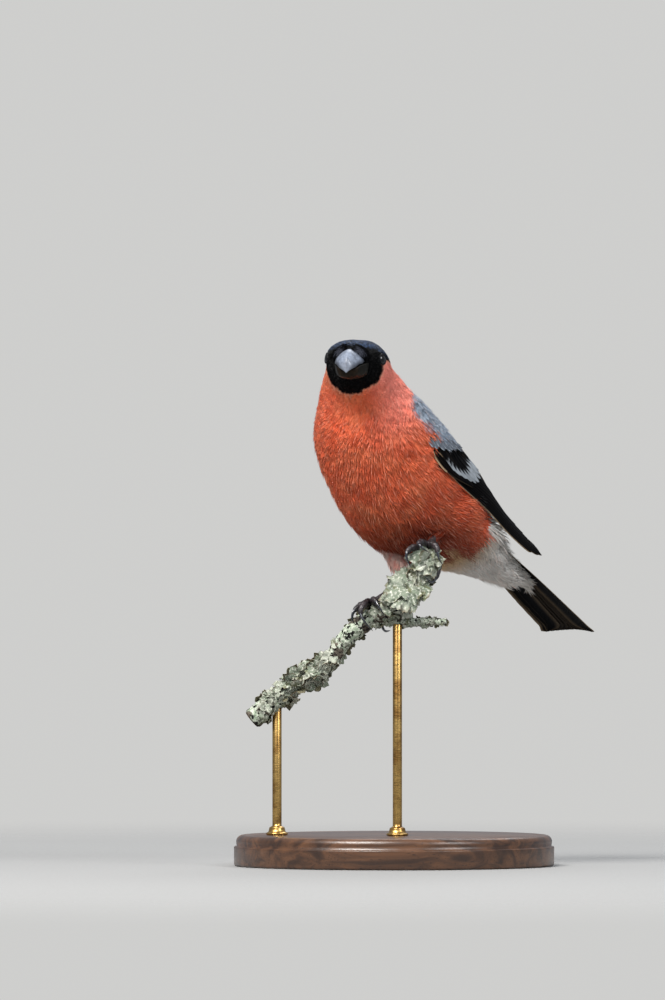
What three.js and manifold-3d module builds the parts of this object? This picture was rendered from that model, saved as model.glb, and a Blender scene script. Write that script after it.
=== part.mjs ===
// A male bullfinch gripping a lichened branch, a life-size display model.
// Millimetres. X to the right of the front view, Y away from it, Z up.
// The origin is the middle of the underside of the stand's base.

import * as THREE from 'three';
import { mergeVertices } from 'three/addons/utils/BufferGeometryUtils.js';
import Module from 'manifold-3d';

const wasm = await Module();
wasm.setup();

// driving dimensions
const GAP = 0.3;                    // clearance between neighbouring pieces
const SPINE_START = [-14.5, -34, 163.3];
// Along the body from the bill's base: distance, pitch down and heading in degrees,
// half width, and the depth above and below the spine.
const STATIONS = [
  [0, -6, 9, 4.4, 4.3, 4.8],        // front of the face
  [3, -3, 9, 7.4, 6.4, 8.2],        // lores
  [8, 6, 9, 9.1, 7.6, 10.6],        // eyes
  [14, 21, 10, 10.2, 7.6, 12.6],    // crown
  [21, 38, 15, 12.1, 7.0, 14.6],    // nape
  [28, 51, 26, 15.4, 8.2, 17.6],    // neck
  [38, 60, 40, 20.6, 13.0, 21.8],   // shoulder
  [50, 57, 46, 23.4, 17.4, 24.2],   // breast
  [64, 50, 46, 23.4, 18.6, 23.2],   // belly
  [77, 41, 46, 20.6, 16.2, 19.2],   // thigh
  [89, 31, 46, 15.4, 12.4, 13.0],   // vent
  [101, 26, 46, 10.2, 8.8, 8.4],    // rump
  [116, 28, 46, 7.6, 5.2, 4.4],     // under the tail coverts
  [129, 33, 46, 4.0, 2.4, 1.2],     // end of the spine
];
const NECK_END = 34;
const TRUNK_END = 92;
const RUMP_END = 106;
// Edge of the black cap and bib: its mean distance, its slant, and its dip behind the eye.
const CAP_EDGE = { mean: 13.4, slant: 6.0, dip: -1.6 };

const EYE = { radius: 2.7, along: 8, angle: 5, sink: 2.0 };
const BILL = { pitch: 9, heading: 9, drop: 0.2, taper: 0.12, bow: 0.1 };
// Bill rings: distance forward, half width, height of the ring, drop of its flat edge.
const UPPER_MANDIBLE = [
  [-3.0, 5.0, 4.9, 0.0], [0.0, 4.9, 4.9, 0.0], [2.2, 4.4, 4.7, 0.1], [4.2, 3.5, 4.1, 0.4],
  [5.9, 2.5, 3.2, 0.9], [7.1, 1.5, 2.2, 1.5], [7.8, 0.5, 1.1, 2.3],
];
const LOWER_MANDIBLE = [
  [-3.0, 6.0, 5.4, 0.3], [0.0, 6.0, 5.5, 0.3], [2.0, 5.3, 5.0, 0.4], [3.8, 4.0, 3.9, 0.7],
  [5.3, 2.6, 2.6, 1.2], [6.2, 1.3, 1.5, 1.7],
];

// Wing: distance along the spine, half width and height of its outer surface,
// and the angles of its lower and upper edges above the bird's side.
const WING = [
  [39, 21.8, 14.4, 22, 40], [43, 23.0, 16.2, 6, 56], [50, 24.6, 18.7, -4, 68],
  [58, 25.3, 19.9, -6, 76], [66, 25.2, 20.3, 1, 80], [74, 24.6, 20.2, 9, 82],
  [83, 23.2, 19.2, 16, 82], [95, 20.6, 17.0, 22, 80], [106, 18.0, 15.0, 29, 70],
  [114, 16.2, 14.2, 35, 58], [121, 14.6, 13.8, 41, 49],
];
const WING_THICKNESS = 2.4;
const WING_EDGE = 0.9;

// Tail: the middle of its tip, and its direction.
const TAIL = {
  tip: [58.5, 56.2, 75.6], pitch: 36.5, heading: 46, length: 58, notch: 2.2,
  rootHalfWidth: 4.5, tipHalfWidth: 11, camber: 1.3, rootThickness: 2.4, tipThickness: 1.0,
};
// Coverts over and under the tail: distance before the tip, half width, depth.
const UPPER_COVERTS = [[62, 8.4, 4.6], [54, 8.0, 4.0], [47, 7.0, 2.6], [41, 5.2, 1.4], [36, 2.6, 0.7]];
const UNDER_COVERTS = [[60, 9.6, 9.5], [52, 8.8, 8.8], [43, 7.4, 6.4], [34, 5.8, 3.8], [27, 3.6, 1.6],
  [23, 1.6, 0.7]];

const TARSUS_RADIUS = 1.05;
const SHANK_END = 0.15;               // share of the shank left free above the ankle
const TOE_RADIUS = 1.0;
const CLAW_TIP = 0.28;
const LEGS = {
  left: {
    heel: [19.7, -3.0, 113.5], ankle: [10.3, -14.0, 103.8],
    toes: [
      { toe: [[7.6, -17.0, 105.1], [5.0, -19.2, 104.2], [4.2, -20.2, 102.2]],
        claw: [[4.0, -20.6, 100.2], [5.4, -20.2, 96.7]] },
      { toe: [[9.5, -17.4, 105.5], [8.5, -20.6, 105.2], [9.2, -22.2, 103.8]],
        claw: [[10.5, -22.2, 102.4], [11.6, -20.6, 100.6]] },
      { toe: [[12.4, -16.6, 105.2], [14.4, -18.6, 103.6], [14.9, -19.4, 101.4]],
        claw: [[15.4, -19.4, 99.2], [15.2, -18.6, 97.0]] },
      { toe: [[12.9, -11.0, 102.0], [14.2, -10.6, 98.0], [13.9, -11.8, 94.8]],
        claw: [[12.2, -14.4, 92.2], [9.8, -17.6, 93.6]] },
    ],
  },
  right: {
    heel: [1.9, 2.0, 94.6], ankle: [-7.5, -8.0, 86.4],
    toes: [
      { toe: [[-10.6, -12.0, 85.9], [-13.2, -14.8, 83.6], [-13.9, -15.4, 81.7]],
        claw: [[-13.8, -15.6, 79.9], [-12.4, -15.0, 77.4]] },
      { toe: [[-8.9, -12.6, 86.8], [-10.4, -16.6, 84.9], [-10.9, -17.8, 82.5]],
        claw: [[-9.9, -18.2, 79.9], [-7.0, -16.6, 75.8]] },
      { toe: [[-6.6, -12.6, 87.2], [-5.6, -16.4, 86.6], [-4.9, -17.8, 85.0]],
        claw: [[-3.9, -18.4, 83.0], [-2.7, -17.6, 80.2]] },
      { toe: [[-5.9, -4.4, 84.2], [-4.3, -3.2, 80.4], [-4.0, -4.8, 76.6]],
        claw: [[-3.0, -7.4, 74.6], [-1.2, -10.8, 74.8]] },
    ],
  },
};
const THIGHS = {
  left: { from: [17.4, -3.0, 112.4], to: [13.9, -9.8, 107.5], radii: [4.6, 2.0] },
  right: { from: [-0.6, 5.5, 105.0], to: [1.3, 1.4, 94.8], radii: [5.4, 2.0] },
};

const BRANCH = {
  path: [[11.3, -15.8, 101.4], [8.6, -15.0, 92.8], [1.8, -13.0, 84.4], [-7.6, -10.5, 80.2],
    [-14.5, -8.6, 75.0], [-21.5, -6.8, 66.0], [-34.0, -4.6, 57.4], [-46.0, -3.0, 47.6]],
  radii: [2.5, 2.9, 3.2, 3.1, 2.7, 2.7, 3.1, 3.5],
};
const TWIG = {
  path: [[-3.2, -12.0, 80.4], [1.8, -12.5, 79.4], [8.3, -13.0, 79.2], [17.0, -14.0, 79.2]],
  radii: [2.2, 2.1, 1.9, 1.2],
};
// Lichen sleeves round the branch: stretch along it, mean radius, lobes and their size.
const LICHENS = {
  perch_lichen_tip: { from: 0.04, to: 0.16, radius: 4.7, lobes: 5, size: 0.14, turn: 0.6 },
  perch_lichen_clump: { from: 0.172, to: 0.36, radius: 7.6, lobes: 5, size: 0.17, turn: 0.2 },
  perch_lichen_low: { from: 0.62, to: 0.86, radius: 5.2, lobes: 5, size: 0.14, turn: 1.4 },
};

const BASE = { radius: 52, height: 10, edge: 2.2 };
const RODS = {
  stand_rod_high: { top: [1.0, -12.8, 81.0], radius: 1.5 },
  stand_rod_low: { top: [-38.0, -4.0, 52.0], radius: 1.5 },
};
const FERRULE = { radius: 3.6, height: 3.0 };

// Colour, roughness and metalness of each finish.
const FINISHES = {
  cap: [0x101218, 0.42], breast: [0xc8563c, 0.85], rump: [0xe6e2da, 0.85], flight: [0x17181d, 0.5],
  bill: [0x23262c, 0.35], eye: [0x0b0807, 0.08], leg: [0x4a3a3c, 0.5], wood: [0x4f4236, 0.85],
  lichen: [0xa9b59c, 0.9], plinth: [0x3a2a20, 0.45], brass: [0x8a6a3c, 0.35, 0.9],
};

// small mathematics
const rad = THREE.MathUtils.degToRad;
const vec = (p) => new THREE.Vector3(...p);

/** A natural cubic spline through (xs, ys), as a function. */
function spline(xs, ys) {
  const n = xs.length;
  const h = xs.slice(1).map((x, i) => x - xs[i]);
  const slope = h.map((step, i) => (ys[i + 1] - ys[i]) / step);
  const c = new Array(n).fill(0);
  const diagonal = new Array(n).fill(1);
  for (let i = 1; i < n - 1; i++) {
    const factor = i > 1 ? h[i - 1] / diagonal[i - 1] : 0;
    diagonal[i] = 2 * (h[i - 1] + h[i]) - factor * (i > 1 ? h[i - 1] : 0);
    c[i] = 3 * (slope[i] - slope[i - 1]) - factor * (i > 1 ? c[i - 1] : 0);
  }
  for (let i = n - 2; i > 0; i--) c[i] = (c[i] - h[i] * c[i + 1]) / diagonal[i];
  return (x) => {
    let i = 0;
    while (i < n - 2 && x >= xs[i + 1]) i++;
    const t = x - xs[i];
    const b = slope[i] - h[i] * (2 * c[i] + c[i + 1]) / 3;
    return ys[i] + b * t + c[i] * t * t + (c[i + 1] - c[i]) / (3 * h[i]) * t ** 3;
  };
}

/** The splines through the columns of a table whose first column is the distance. */
function columns(table) {
  const xs = table.map((row) => row[0]);
  return table[0].slice(1).map((_, k) => spline(xs, table.map((row) => row[k + 1])));
}

/** Back, left and up directions for a pitch down and a heading in degrees. */
function axes(pitch, heading) {
  const [p, q] = [rad(pitch), rad(heading)];
  return {
    back: vec([Math.cos(p) * Math.sin(q), Math.cos(p) * Math.cos(q), -Math.sin(p)]),
    left: vec([Math.cos(q), -Math.sin(q), 0]),
    up: vec([Math.sin(p) * Math.sin(q), Math.sin(p) * Math.cos(q), Math.cos(p)]),
  };
}

/** The body's spine with its cross sections. */
class Spine {
  constructor(start, stations, steps = 1200) {
    [this.pitch, this.heading, this.width, this.above, this.below] = columns(stations);
    this.length = stations.at(-1)[0];
    this.step = this.length / steps;
    this.centres = [vec(start)];
    for (let i = 0; i < steps; i++) {
      const ahead = this.axesAt(i * this.step).back.add(this.axesAt((i + 1) * this.step).back);
      this.centres.push(this.centres[i].clone().addScaledVector(ahead, this.step / 2));
    }
  }

  axesAt(s) { return axes(this.pitch(s), this.heading(s)); }

  centre(s) {
    const i = Math.min(Math.floor(s / this.step), this.centres.length - 2);
    return this.centres[i].clone().lerp(this.centres[i + 1], s / this.step - i);
  }

  /** A point at angle a (0 the bird's left, 90 its back) of an ellipse pair. */
  place(s, a, width, above, below) {
    const { left, up } = this.axesAt(s);
    const rise = Math.sin(rad(a));
    return this.centre(s).addScaledVector(left, width * Math.cos(rad(a)))
      .addScaledVector(up, (rise > 0 ? above : below) * rise);
  }

  skin(s, a, grow = 0) {
    return this.place(s, a, this.width(s) + grow, this.above(s) + grow, this.below(s) + grow);
  }
}
const spine = new Spine(SPINE_START, STATIONS);

// closed surfaces
/** A closed geometry from points and triangles, its faces turned outward. */
function closed(points, triangles) {
  let volume = 0;
  for (const [i, j, k] of triangles) volume += points[i].dot(points[j].clone().cross(points[k]));
  const faces = volume < 0 ? triangles.map(([i, j, k]) => [i, k, j]) : triangles;
  const geometry = new THREE.BufferGeometry();
  geometry.setAttribute('position', new THREE.Float32BufferAttribute(
    points.flatMap((p) => [p.x, p.y, p.z]), 3));
  geometry.setIndex(faces.flat());
  return geometry;
}

/** Rings of equally many points joined into a tube with closed ends. */
function ringed(rings) {
  const n = rings[0].length;
  const points = rings.flat();
  const triangles = [];
  for (let i = 0; i + 1 < rings.length; i++) {
    for (let j = 0; j < n; j++) {
      const [a, b] = [i * n + j, i * n + (j + 1) % n];
      triangles.push([a, b, b + n], [a, b + n, a + n]);
    }
  }
  for (const [row, flip] of [[0, true], [rings.length - 1, false]]) {
    const middle = rings[row].reduce((sum, p) => sum.add(p), vec([0, 0, 0])).divideScalar(n);
    points.push(middle);
    for (let j = 0; j < n; j++) {
      const [a, b] = [row * n + j, row * n + (j + 1) % n];
      triangles.push(flip ? [points.length - 1, b, a] : [points.length - 1, a, b]);
    }
  }
  return closed(points, triangles);
}

/** A slab between two sheets given over u and v in 0..1, closed round its border. */
function slab(outer, inner, nu, nv) {
  const points = [];
  for (const sheet of [outer, inner]) {
    for (let i = 0; i <= nu; i++) for (let j = 0; j <= nv; j++) points.push(sheet(i / nu, j / nv));
  }
  const half = points.length / 2;
  const at = (i, j) => i * (nv + 1) + j;
  const triangles = [];
  for (let i = 0; i < nu; i++) {
    for (let j = 0; j < nv; j++) {
      const [a, b, c, d] = [at(i, j), at(i + 1, j), at(i + 1, j + 1), at(i, j + 1)];
      triangles.push([a, b, c], [a, c, d], [a + half, c + half, b + half], [a + half, d + half, c + half]);
    }
  }
  const run = (count, index) => Array.from({ length: count }, (_, k) => index(k));
  const border = [
    ...run(nu, (i) => at(i, 0)), ...run(nv, (j) => at(nu, j)),
    ...run(nu, (i) => at(nu - i, nv)), ...run(nv, (j) => at(0, nv - j)),
  ];
  border.forEach((a, k) => {
    const b = border[(k + 1) % border.length];
    triangles.push([b, a, a + half], [b, a + half, b + half]);
  });
  return closed(points, triangles);
}

/** A round tube along points, its radius eased through the given radii. */
function tube(path, radii, { sides = 8, rows = 10, ends = 0.55 } = {}) {
  const curve = new THREE.CatmullRomCurve3(path.map(vec), false, 'centripetal');
  const frames = curve.computeFrenetFrames(rows, false);
  const width = spline(radii.map((_, i) => i / (radii.length - 1)), radii);
  const ring = (i, scale, push) => {
    const centre = curve.getPointAt(i / rows).addScaledVector(frames.tangents[i], push);
    return Array.from({ length: sides }, (_, j) => {
      const a = 2 * Math.PI * j / sides;
      return centre.clone().addScaledVector(frames.normals[i], scale * Math.cos(a))
        .addScaledVector(frames.binormals[i], scale * Math.sin(a));
    });
  };
  const rings = Array.from({ length: rows + 1 }, (_, i) => ring(i, width(i / rows), 0));
  const [first, last] = [radii[0] * ends, radii.at(-1) * ends];
  return ringed([ring(0, first, -first * 0.8), ...rings, ring(rows, last, last * 0.8)]);
}

// joining and cutting
/** The geometry as a solid that can be joined and cut. */
function solid(geometry) {
  const bare = geometry.clone();
  bare.deleteAttribute('normal');
  bare.deleteAttribute('uv');
  const merged = mergeVertices(bare, 1e-4);
  return new wasm.Manifold(new wasm.Mesh({
    numProp: 3,
    vertProperties: new Float32Array(merged.attributes.position.array),
    triVerts: new Uint32Array(merged.index.array),
  }));
}

/** The solid as a geometry again. */
function geometryOf(body) {
  const mesh = body.getMesh();
  const geometry = new THREE.BufferGeometry();
  geometry.setAttribute('position', new THREE.BufferAttribute(new Float32Array(mesh.vertProperties), 3));
  geometry.setIndex(new THREE.BufferAttribute(new Uint32Array(mesh.triVerts), 1));
  return geometry;
}

const joined = (...parts) => geometryOf(parts.map(solid).reduce((sum, part) => sum.add(part)));
const cut = (part, ...tools) => geometryOf(
  tools.map(solid).reduce((rest, tool) => rest.subtract(tool), solid(part)));

// the bird
const AROUND = 28;

/** Where the black cap and bib end, at an angle round the body. */
const capEdge = (a) => CAP_EDGE.mean + CAP_EDGE.slant * Math.sin(rad(a))
  + CAP_EDGE.dip * Math.cos(rad(2 * a));

/**
 * A stretch of the body between two edges, each a distance or a function of the angle,
 * grown outward by a clearance when it serves as a cutter.
 */
function bodyStretch(from, to, rows, grow = 0) {
  const edge = (end, a) => (typeof end === 'function' ? end(a) : end);
  const rings = Array.from({ length: rows + 1 }, (_, i) => Array.from({ length: AROUND }, (_, j) => {
    const a = 360 * j / AROUND;
    return spine.skin(edge(from, a) + (edge(to, a) - edge(from, a)) * i / rows, a, grow);
  }));
  return ringed(rings);
}

function eyeBall(side, grow = 0) {
  const angle = side === 'left' ? EYE.angle : 180 - EYE.angle;
  const out = spine.place(EYE.along, angle, 1, 1, 1).sub(spine.centre(EYE.along)).normalize();
  const centre = spine.skin(EYE.along, angle).addScaledVector(out, -EYE.sink);
  const ball = new THREE.SphereGeometry(EYE.radius + grow, 12, 8);
  return ball.translate(centre.x, centre.y, centre.z);
}

/** One half of the bill; up is 1 for the upper mandible and -1 for the lower. */
function mandible(rows, up) {
  const frame = axes(-BILL.pitch, BILL.heading);
  const base = spine.centre(0).addScaledVector(frame.up, -BILL.drop);
  const count = 12;
  const rings = rows.map(([ahead, half, height, drop]) => Array.from({ length: count }, (_, j) => {
    const a = 2 * Math.PI * j / count;
    const arch = Math.max(Math.sin(a), 0);
    return base.clone().addScaledVector(frame.back, -ahead)
      .addScaledVector(frame.left, half * Math.cos(a) * (1 - BILL.taper * arch))
      .addScaledVector(frame.up, up * (height * arch - BILL.bow * Math.max(-Math.sin(a), 0)) - drop);
  }));
  return cut(ringed(rings), bodyStretch(0, capEdge, 8, GAP));
}

/** The folded wing on one side, a curved blade fitted over the plumage. */
function wing(side, plumage) {
  const [width, height, lower, upper] = columns(WING);
  const [from, to] = [WING[0][0], WING.at(-1)[0]];
  const sheet = (inside) => (u, v) => {
    const s = from + (to - from) * u;
    const angle = lower(s) + (upper(s) - lower(s)) * v;
    const middle = Math.max(Math.sin(Math.PI * v), 0) ** 0.5 * Math.min(1, (1 - u) * 3 + 0.25);
    const thick = inside ? WING_EDGE + (WING_THICKNESS - WING_EDGE) * middle : 0;
    return spine.place(s, side === 'left' ? angle : 180 - angle, width(s) - thick, height(s) - thick, 0);
  };
  return cut(slab(sheet(false), sheet(true), 15, 5), plumage);
}

const tailAxes = axes(TAIL.pitch, TAIL.heading);

/** A point of the tail: distance before the tip, to the left, and over its plane. */
function tailPoint(before, aside, over) {
  return vec(TAIL.tip).addScaledVector(tailAxes.back, -before)
    .addScaledVector(tailAxes.left, aside).addScaledVector(tailAxes.up, over);
}

function tailHalfWidth(before) {
  const share = 1 - before / TAIL.length;
  return TAIL.rootHalfWidth + (TAIL.tipHalfWidth - TAIL.rootHalfWidth) * Math.min(1, share * 1.08) ** 0.85;
}

/** Height of the roofed tail over its own plane. */
const tailRoof = (before, aside) => TAIL.camber * (1 - (aside / (tailHalfWidth(before) + 0.5)) ** 2);

function tail(grow = 0) {
  const sheet = (side) => (u, v) => {
    const across = 2 * u - 1;
    const corner = 1.2 * Math.abs(across) ** 24;
    const before = TAIL.length * (1 - v) + v * (TAIL.notch * (1 - Math.abs(across) ** 1.6) + corner);
    const aside = across * (tailHalfWidth(before) + grow);
    const thick = TAIL.tipThickness + (TAIL.rootThickness - TAIL.tipThickness) * (1 - v);
    return tailPoint(before, aside, tailRoof(before, aside) + side * (thick / 2 + grow));
  };
  return slab(sheet(1), sheet(-1), 8, 7);
}

/** Coverts over (up 1) or under (up -1) the tail, fitted to the rump and the tail. */
function coverts(rows, up, rump) {
  const sides = 14;
  const rings = rows.map(([before, half, depth]) => Array.from({ length: sides }, (_, j) => {
    const a = 2 * Math.PI * j / sides;
    return tailPoint(before, half * Math.cos(a), up * (depth * Math.max(Math.sin(a), 0) + GAP));
  }));
  return cut(ringed(rings), rump, tail(GAP));
}

/** A toe running out into its claw, from the ankle. */
function toeGeometry(ankle, { toe, claw }, grow = 0) {
  const bones = [1.15, 1, 1, 0.92].map((r) => r * TOE_RADIUS);
  const hook = [(TOE_RADIUS + CLAW_TIP) / 2, CLAW_TIP];
  return tube([ankle, ...toe, ...claw], [...bones, ...hook].map((r) => r + grow), { sides: 6, rows: 7 });
}

const footGeometry = ({ ankle, toes }, grow = 0) => joined(
  ...toes.map((toe) => toeGeometry(ankle, toe, grow)));

/** The feathered thigh, grown outward when it serves as a cutter. */
const thigh = ({ from, to, radii }, grow = 0) => tube([from, to], radii.map((r) => r + grow),
  { sides: 12, rows: 3 });

/** The bare shank from the plumage down to just above the foot. */
function shank({ heel, ankle }, ...plumage) {
  const end = vec(ankle).lerp(vec(heel), SHANK_END).toArray();
  const radii = [TARSUS_RADIUS * 1.15, TARSUS_RADIUS];
  return cut(tube([heel, end], radii, { sides: 8, rows: 3, ends: 0.8 }), ...plumage);
}

// the perch
const branchCurve = new THREE.CatmullRomCurve3(BRANCH.path.map(vec), false, 'centripetal');

/** Wood of the perch, with its side twig, grown outward when it serves as a cutter. */
function wood(grow = 0) {
  const branch = tube(BRANCH.path, BRANCH.radii.map((r) => r + grow), { sides: 12, rows: 18, ends: 0.86 });
  const twig = tube(TWIG.path, TWIG.radii.map((r) => r + grow), { sides: 8, rows: 5, ends: 0.7 });
  return joined(branch, twig);
}

/** A ruffled sleeve of lichen round a stretch of the branch. */
function lichenSleeve({ from, to, radius, lobes, size, turn }) {
  const [rows, sides] = [4, 14];
  const frames = branchCurve.computeFrenetFrames(rows, false);
  const rings = Array.from({ length: rows + 1 }, (_, i) => {
    const share = i / rows;
    const centre = branchCurve.getPointAt(from + (to - from) * share);
    const tangent = branchCurve.getTangentAt(from + (to - from) * share);
    const side = frames.normals[0].clone().cross(tangent).normalize();
    const other = tangent.clone().cross(side);
    const swell = 0.62 + 0.38 * Math.sin(Math.PI * (0.08 + 0.84 * share));
    return Array.from({ length: sides }, (_, j) => {
      const a = 2 * Math.PI * j / sides;
      const wave = Math.sin(lobes * a + turn + 3 * share) + 0.5 * Math.sin((2 * lobes + 1) * a - 5 * share);
      const reach = radius * swell * (1 + size * wave);
      return centre.clone().addScaledVector(side, reach * Math.cos(a))
        .addScaledVector(other, reach * Math.sin(a));
    });
  });
  return ringed(rings);
}

// the stand
/** A turned solid from a profile of radius and height pairs. */
const turned = (profile, sides) => new THREE.LatheGeometry(
  profile.map(([r, z]) => new THREE.Vector2(r, z)), sides).rotateX(Math.PI / 2);

function plinth() {
  const { radius, height, edge } = BASE;
  const quarter = Array.from({ length: 3 }, (_, i) => rad(90 * i / 2));
  const rim = quarter.map((a) => [radius - edge + edge * Math.cos(a), height - edge + edge * Math.sin(a)]);
  return turned([[0, 0], [radius, 0], ...rim, [0, height]], 36);
}

/** The straight part of a rod, grown outward when it serves as a cutter. */
const rodCutter = ({ top: [x, y, z], radius }) => turned(
  [[0, BASE.height], [radius + GAP, BASE.height], [radius + GAP, z], [0, z]], 14).translate(x, y, 0);

/** A rod from its ferrule on the base up to the underside of the perch. */
function rod({ top: [x, y, z], radius }, perch) {
  const floor = BASE.height + GAP;
  const profile = [[0, floor], [FERRULE.radius, floor], [FERRULE.radius, floor + FERRULE.height * 0.7],
    [FERRULE.radius * 0.8, floor + FERRULE.height], [radius, floor + FERRULE.height], [radius, z], [0, z]];
  return cut(turned(profile, 14).translate(x, y, 0), perch);
}

// assembly
/** A group of the model, holding named pieces. */
class Assembly extends THREE.Group {
  piece(name, geometry, finish) {
    const [color, roughness, metalness = 0] = FINISHES[finish];
    const bare = geometry.clone();
    bare.deleteAttribute('normal');
    bare.deleteAttribute('uv');
    const tidy = mergeVertices(bare, 1e-4);
    tidy.computeVertexNormals();
    const mesh = new THREE.Mesh(tidy, new THREE.MeshStandardMaterial({ color, roughness, metalness }));
    mesh.name = name;
    this.add(mesh);
  }
}

const SIDES = ['left', 'right'];
const perchCutter = wood(GAP);
const feetCutters = SIDES.map((side) => footGeometry(LEGS[side], GAP));

function buildBird() {
  const bird = new Assembly();
  const plumage = bodyStretch(NECK_END, RUMP_END, 14, GAP);
  const rumpCutter = bodyStretch(TRUNK_END - 12, RUMP_END, 8, GAP);
  bird.piece('head', cut(bodyStretch(0, capEdge, 8), ...SIDES.map((side) => eyeBall(side, GAP))), 'cap');
  bird.piece('neck', bodyStretch((a) => capEdge(a) + GAP, NECK_END, 7), 'breast');
  bird.piece('trunk', bodyStretch(NECK_END + GAP, TRUNK_END, 14), 'breast');
  bird.piece('rump', bodyStretch(TRUNK_END + GAP, RUMP_END, 4), 'rump');
  bird.piece('tail_coverts_upper', coverts(UPPER_COVERTS, 1, rumpCutter), 'flight');
  bird.piece('tail_coverts_under', coverts(UNDER_COVERTS, -1, rumpCutter), 'rump');
  bird.piece('tail', cut(tail(), rumpCutter), 'flight');
  bird.piece('bill_upper', mandible(UPPER_MANDIBLE, 1), 'bill');
  bird.piece('bill_lower', mandible(LOWER_MANDIBLE, -1), 'bill');
  for (const side of SIDES) {
    bird.piece(`eye_${side}`, eyeBall(side), 'eye');
    bird.piece(`wing_${side}`, wing(side, plumage), 'flight');
    bird.piece(`thigh_${side}`, cut(thigh(THIGHS[side]), plumage, perchCutter), 'breast');
    bird.piece(`leg_${side}`, shank(LEGS[side], plumage, thigh(THIGHS[side], GAP)), 'leg');
    bird.piece(`foot_${side}`, cut(footGeometry(LEGS[side]), perchCutter), 'leg');
  }
  return bird;
}

function buildPerch() {
  const perch = new Assembly();
  perch.piece('perch_branch', wood(), 'wood');
  const cutters = [perchCutter, ...feetCutters, ...Object.values(RODS).map(rodCutter)];
  for (const [name, shape] of Object.entries(LICHENS)) {
    perch.piece(name, cut(lichenSleeve(shape), ...cutters), 'lichen');
  }
  return perch;
}

function buildStand() {
  const stand = new Assembly();
  stand.piece('stand_base', plinth(), 'plinth');
  for (const [name, shape] of Object.entries(RODS)) stand.piece(name, rod(shape, perchCutter), 'brass');
  return stand;
}

const model = new THREE.Group();
model.name = 'bullfinch';
model.add(buildBird(), buildPerch(), buildStand());

export default model;
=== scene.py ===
"""Looks of a male bullfinch gripping a cut, lichened branch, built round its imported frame."""
import logging
import math
from dataclasses import dataclass, field
from enum import Enum
from typing import Any, Callable, Sequence

import bpy
import numpy as np
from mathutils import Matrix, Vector


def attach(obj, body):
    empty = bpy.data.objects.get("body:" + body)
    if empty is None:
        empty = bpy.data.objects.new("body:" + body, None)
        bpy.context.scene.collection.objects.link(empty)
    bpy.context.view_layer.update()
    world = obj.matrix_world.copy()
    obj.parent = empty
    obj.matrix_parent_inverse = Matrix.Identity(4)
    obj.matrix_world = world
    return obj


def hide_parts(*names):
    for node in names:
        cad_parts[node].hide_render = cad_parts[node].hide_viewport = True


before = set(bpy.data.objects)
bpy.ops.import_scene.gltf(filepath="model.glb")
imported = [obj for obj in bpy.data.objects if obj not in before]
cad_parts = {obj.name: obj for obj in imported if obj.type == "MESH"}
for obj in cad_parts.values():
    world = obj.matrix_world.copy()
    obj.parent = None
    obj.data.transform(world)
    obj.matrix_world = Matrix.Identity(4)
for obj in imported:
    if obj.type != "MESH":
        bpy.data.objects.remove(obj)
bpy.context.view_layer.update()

LOG = logging.getLogger("bullfinch")
MM = 0.001
Array = np.ndarray
Triple = tuple[float, float, float]
Colour = tuple[float, float, float, float]
Object = bpy.types.Object
Material = bpy.types.Material
Collection = bpy.types.Collection
Socket = bpy.types.NodeSocket
Sockets = dict[str, Any]
Numbers = tuple[float, ...]
Table = tuple[Numbers, ...]


class Side(Enum):
    """The bird's own sides."""

    LEFT = 1
    RIGHT = -1

    @property
    def word(self) -> str:
        """The side's name in node names."""
        return self.name.lower()

    def angle(self, degrees: Any) -> Any:
        """An angle above this side, as an angle round the body."""
        return degrees if self is Side.LEFT else 180 - degrees


# mathematics
def unit(v: Array) -> Array:
    """Vectors of length one."""
    return v / np.maximum(np.linalg.norm(v, axis=-1, keepdims=True), 1e-12)


def smooth(x: Any, low: float, high: float) -> Array:
    """An eased step from 0 at low to 1 at high."""
    t = np.clip((np.asarray(x, float) - low) / (high - low), 0, 1)
    return t * t * (3 - 2 * t)


def bell(x: Any, middle: float, wide: float) -> Array:
    """A bell of height one."""
    return np.exp(-(((np.asarray(x, float) - middle) / wide) ** 2))


def turns(count: int) -> Array:
    """Angles once round a circle, in radians."""
    return np.linspace(0, 2 * math.pi, count, endpoint=False)


def crossed(rows: Array, cols: Array) -> list[Array]:
    """The rows' and the columns' values, each over the whole grid."""
    return np.meshgrid(rows, cols, indexing="ij")


class Spline:
    """A natural cubic spline through points, as in the part's own source."""

    def __init__(self, xs: Sequence[float], ys: Sequence[float]) -> None:
        """Fits the spline.

        Args:
            xs: Rising positions.
            ys: The values there.
        """
        self.x, self.y = np.array(xs, float), np.array(ys, float)
        n, h = len(xs), np.diff(self.x)
        slope, system, right = np.diff(self.y) / h, np.eye(n), np.zeros(n)
        for i in range(1, n - 1):
            system[i, i - 1:i + 2] = h[i - 1], 2 * (h[i - 1] + h[i]), h[i]
            right[i] = 3 * (slope[i] - slope[i - 1])
        self.c = np.linalg.solve(system, right)
        self.b = slope - h * (2 * self.c[:-1] + self.c[1:]) / 3
        self.d = np.diff(self.c) / (3 * h)

    def __call__(self, x: Any) -> Array:
        """The spline's value at x.

        Args:
            x: Where to look.
        Returns:
            The values there.
        """
        i = np.clip(np.searchsorted(self.x, x, side="right") - 1, 0, len(self.x) - 2)
        t = x - self.x[i]
        return self.y[i] + t * (self.b[i] + t * (self.c[i] + t * self.d[i]))


def columns(table: Sequence[Sequence[float]]) -> list[Spline]:
    """Splines through a table's columns over its first one."""
    rows = np.array(table, float)
    return [Spline(rows[:, 0], rows[:, k]) for k in range(1, rows.shape[1])]


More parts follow.
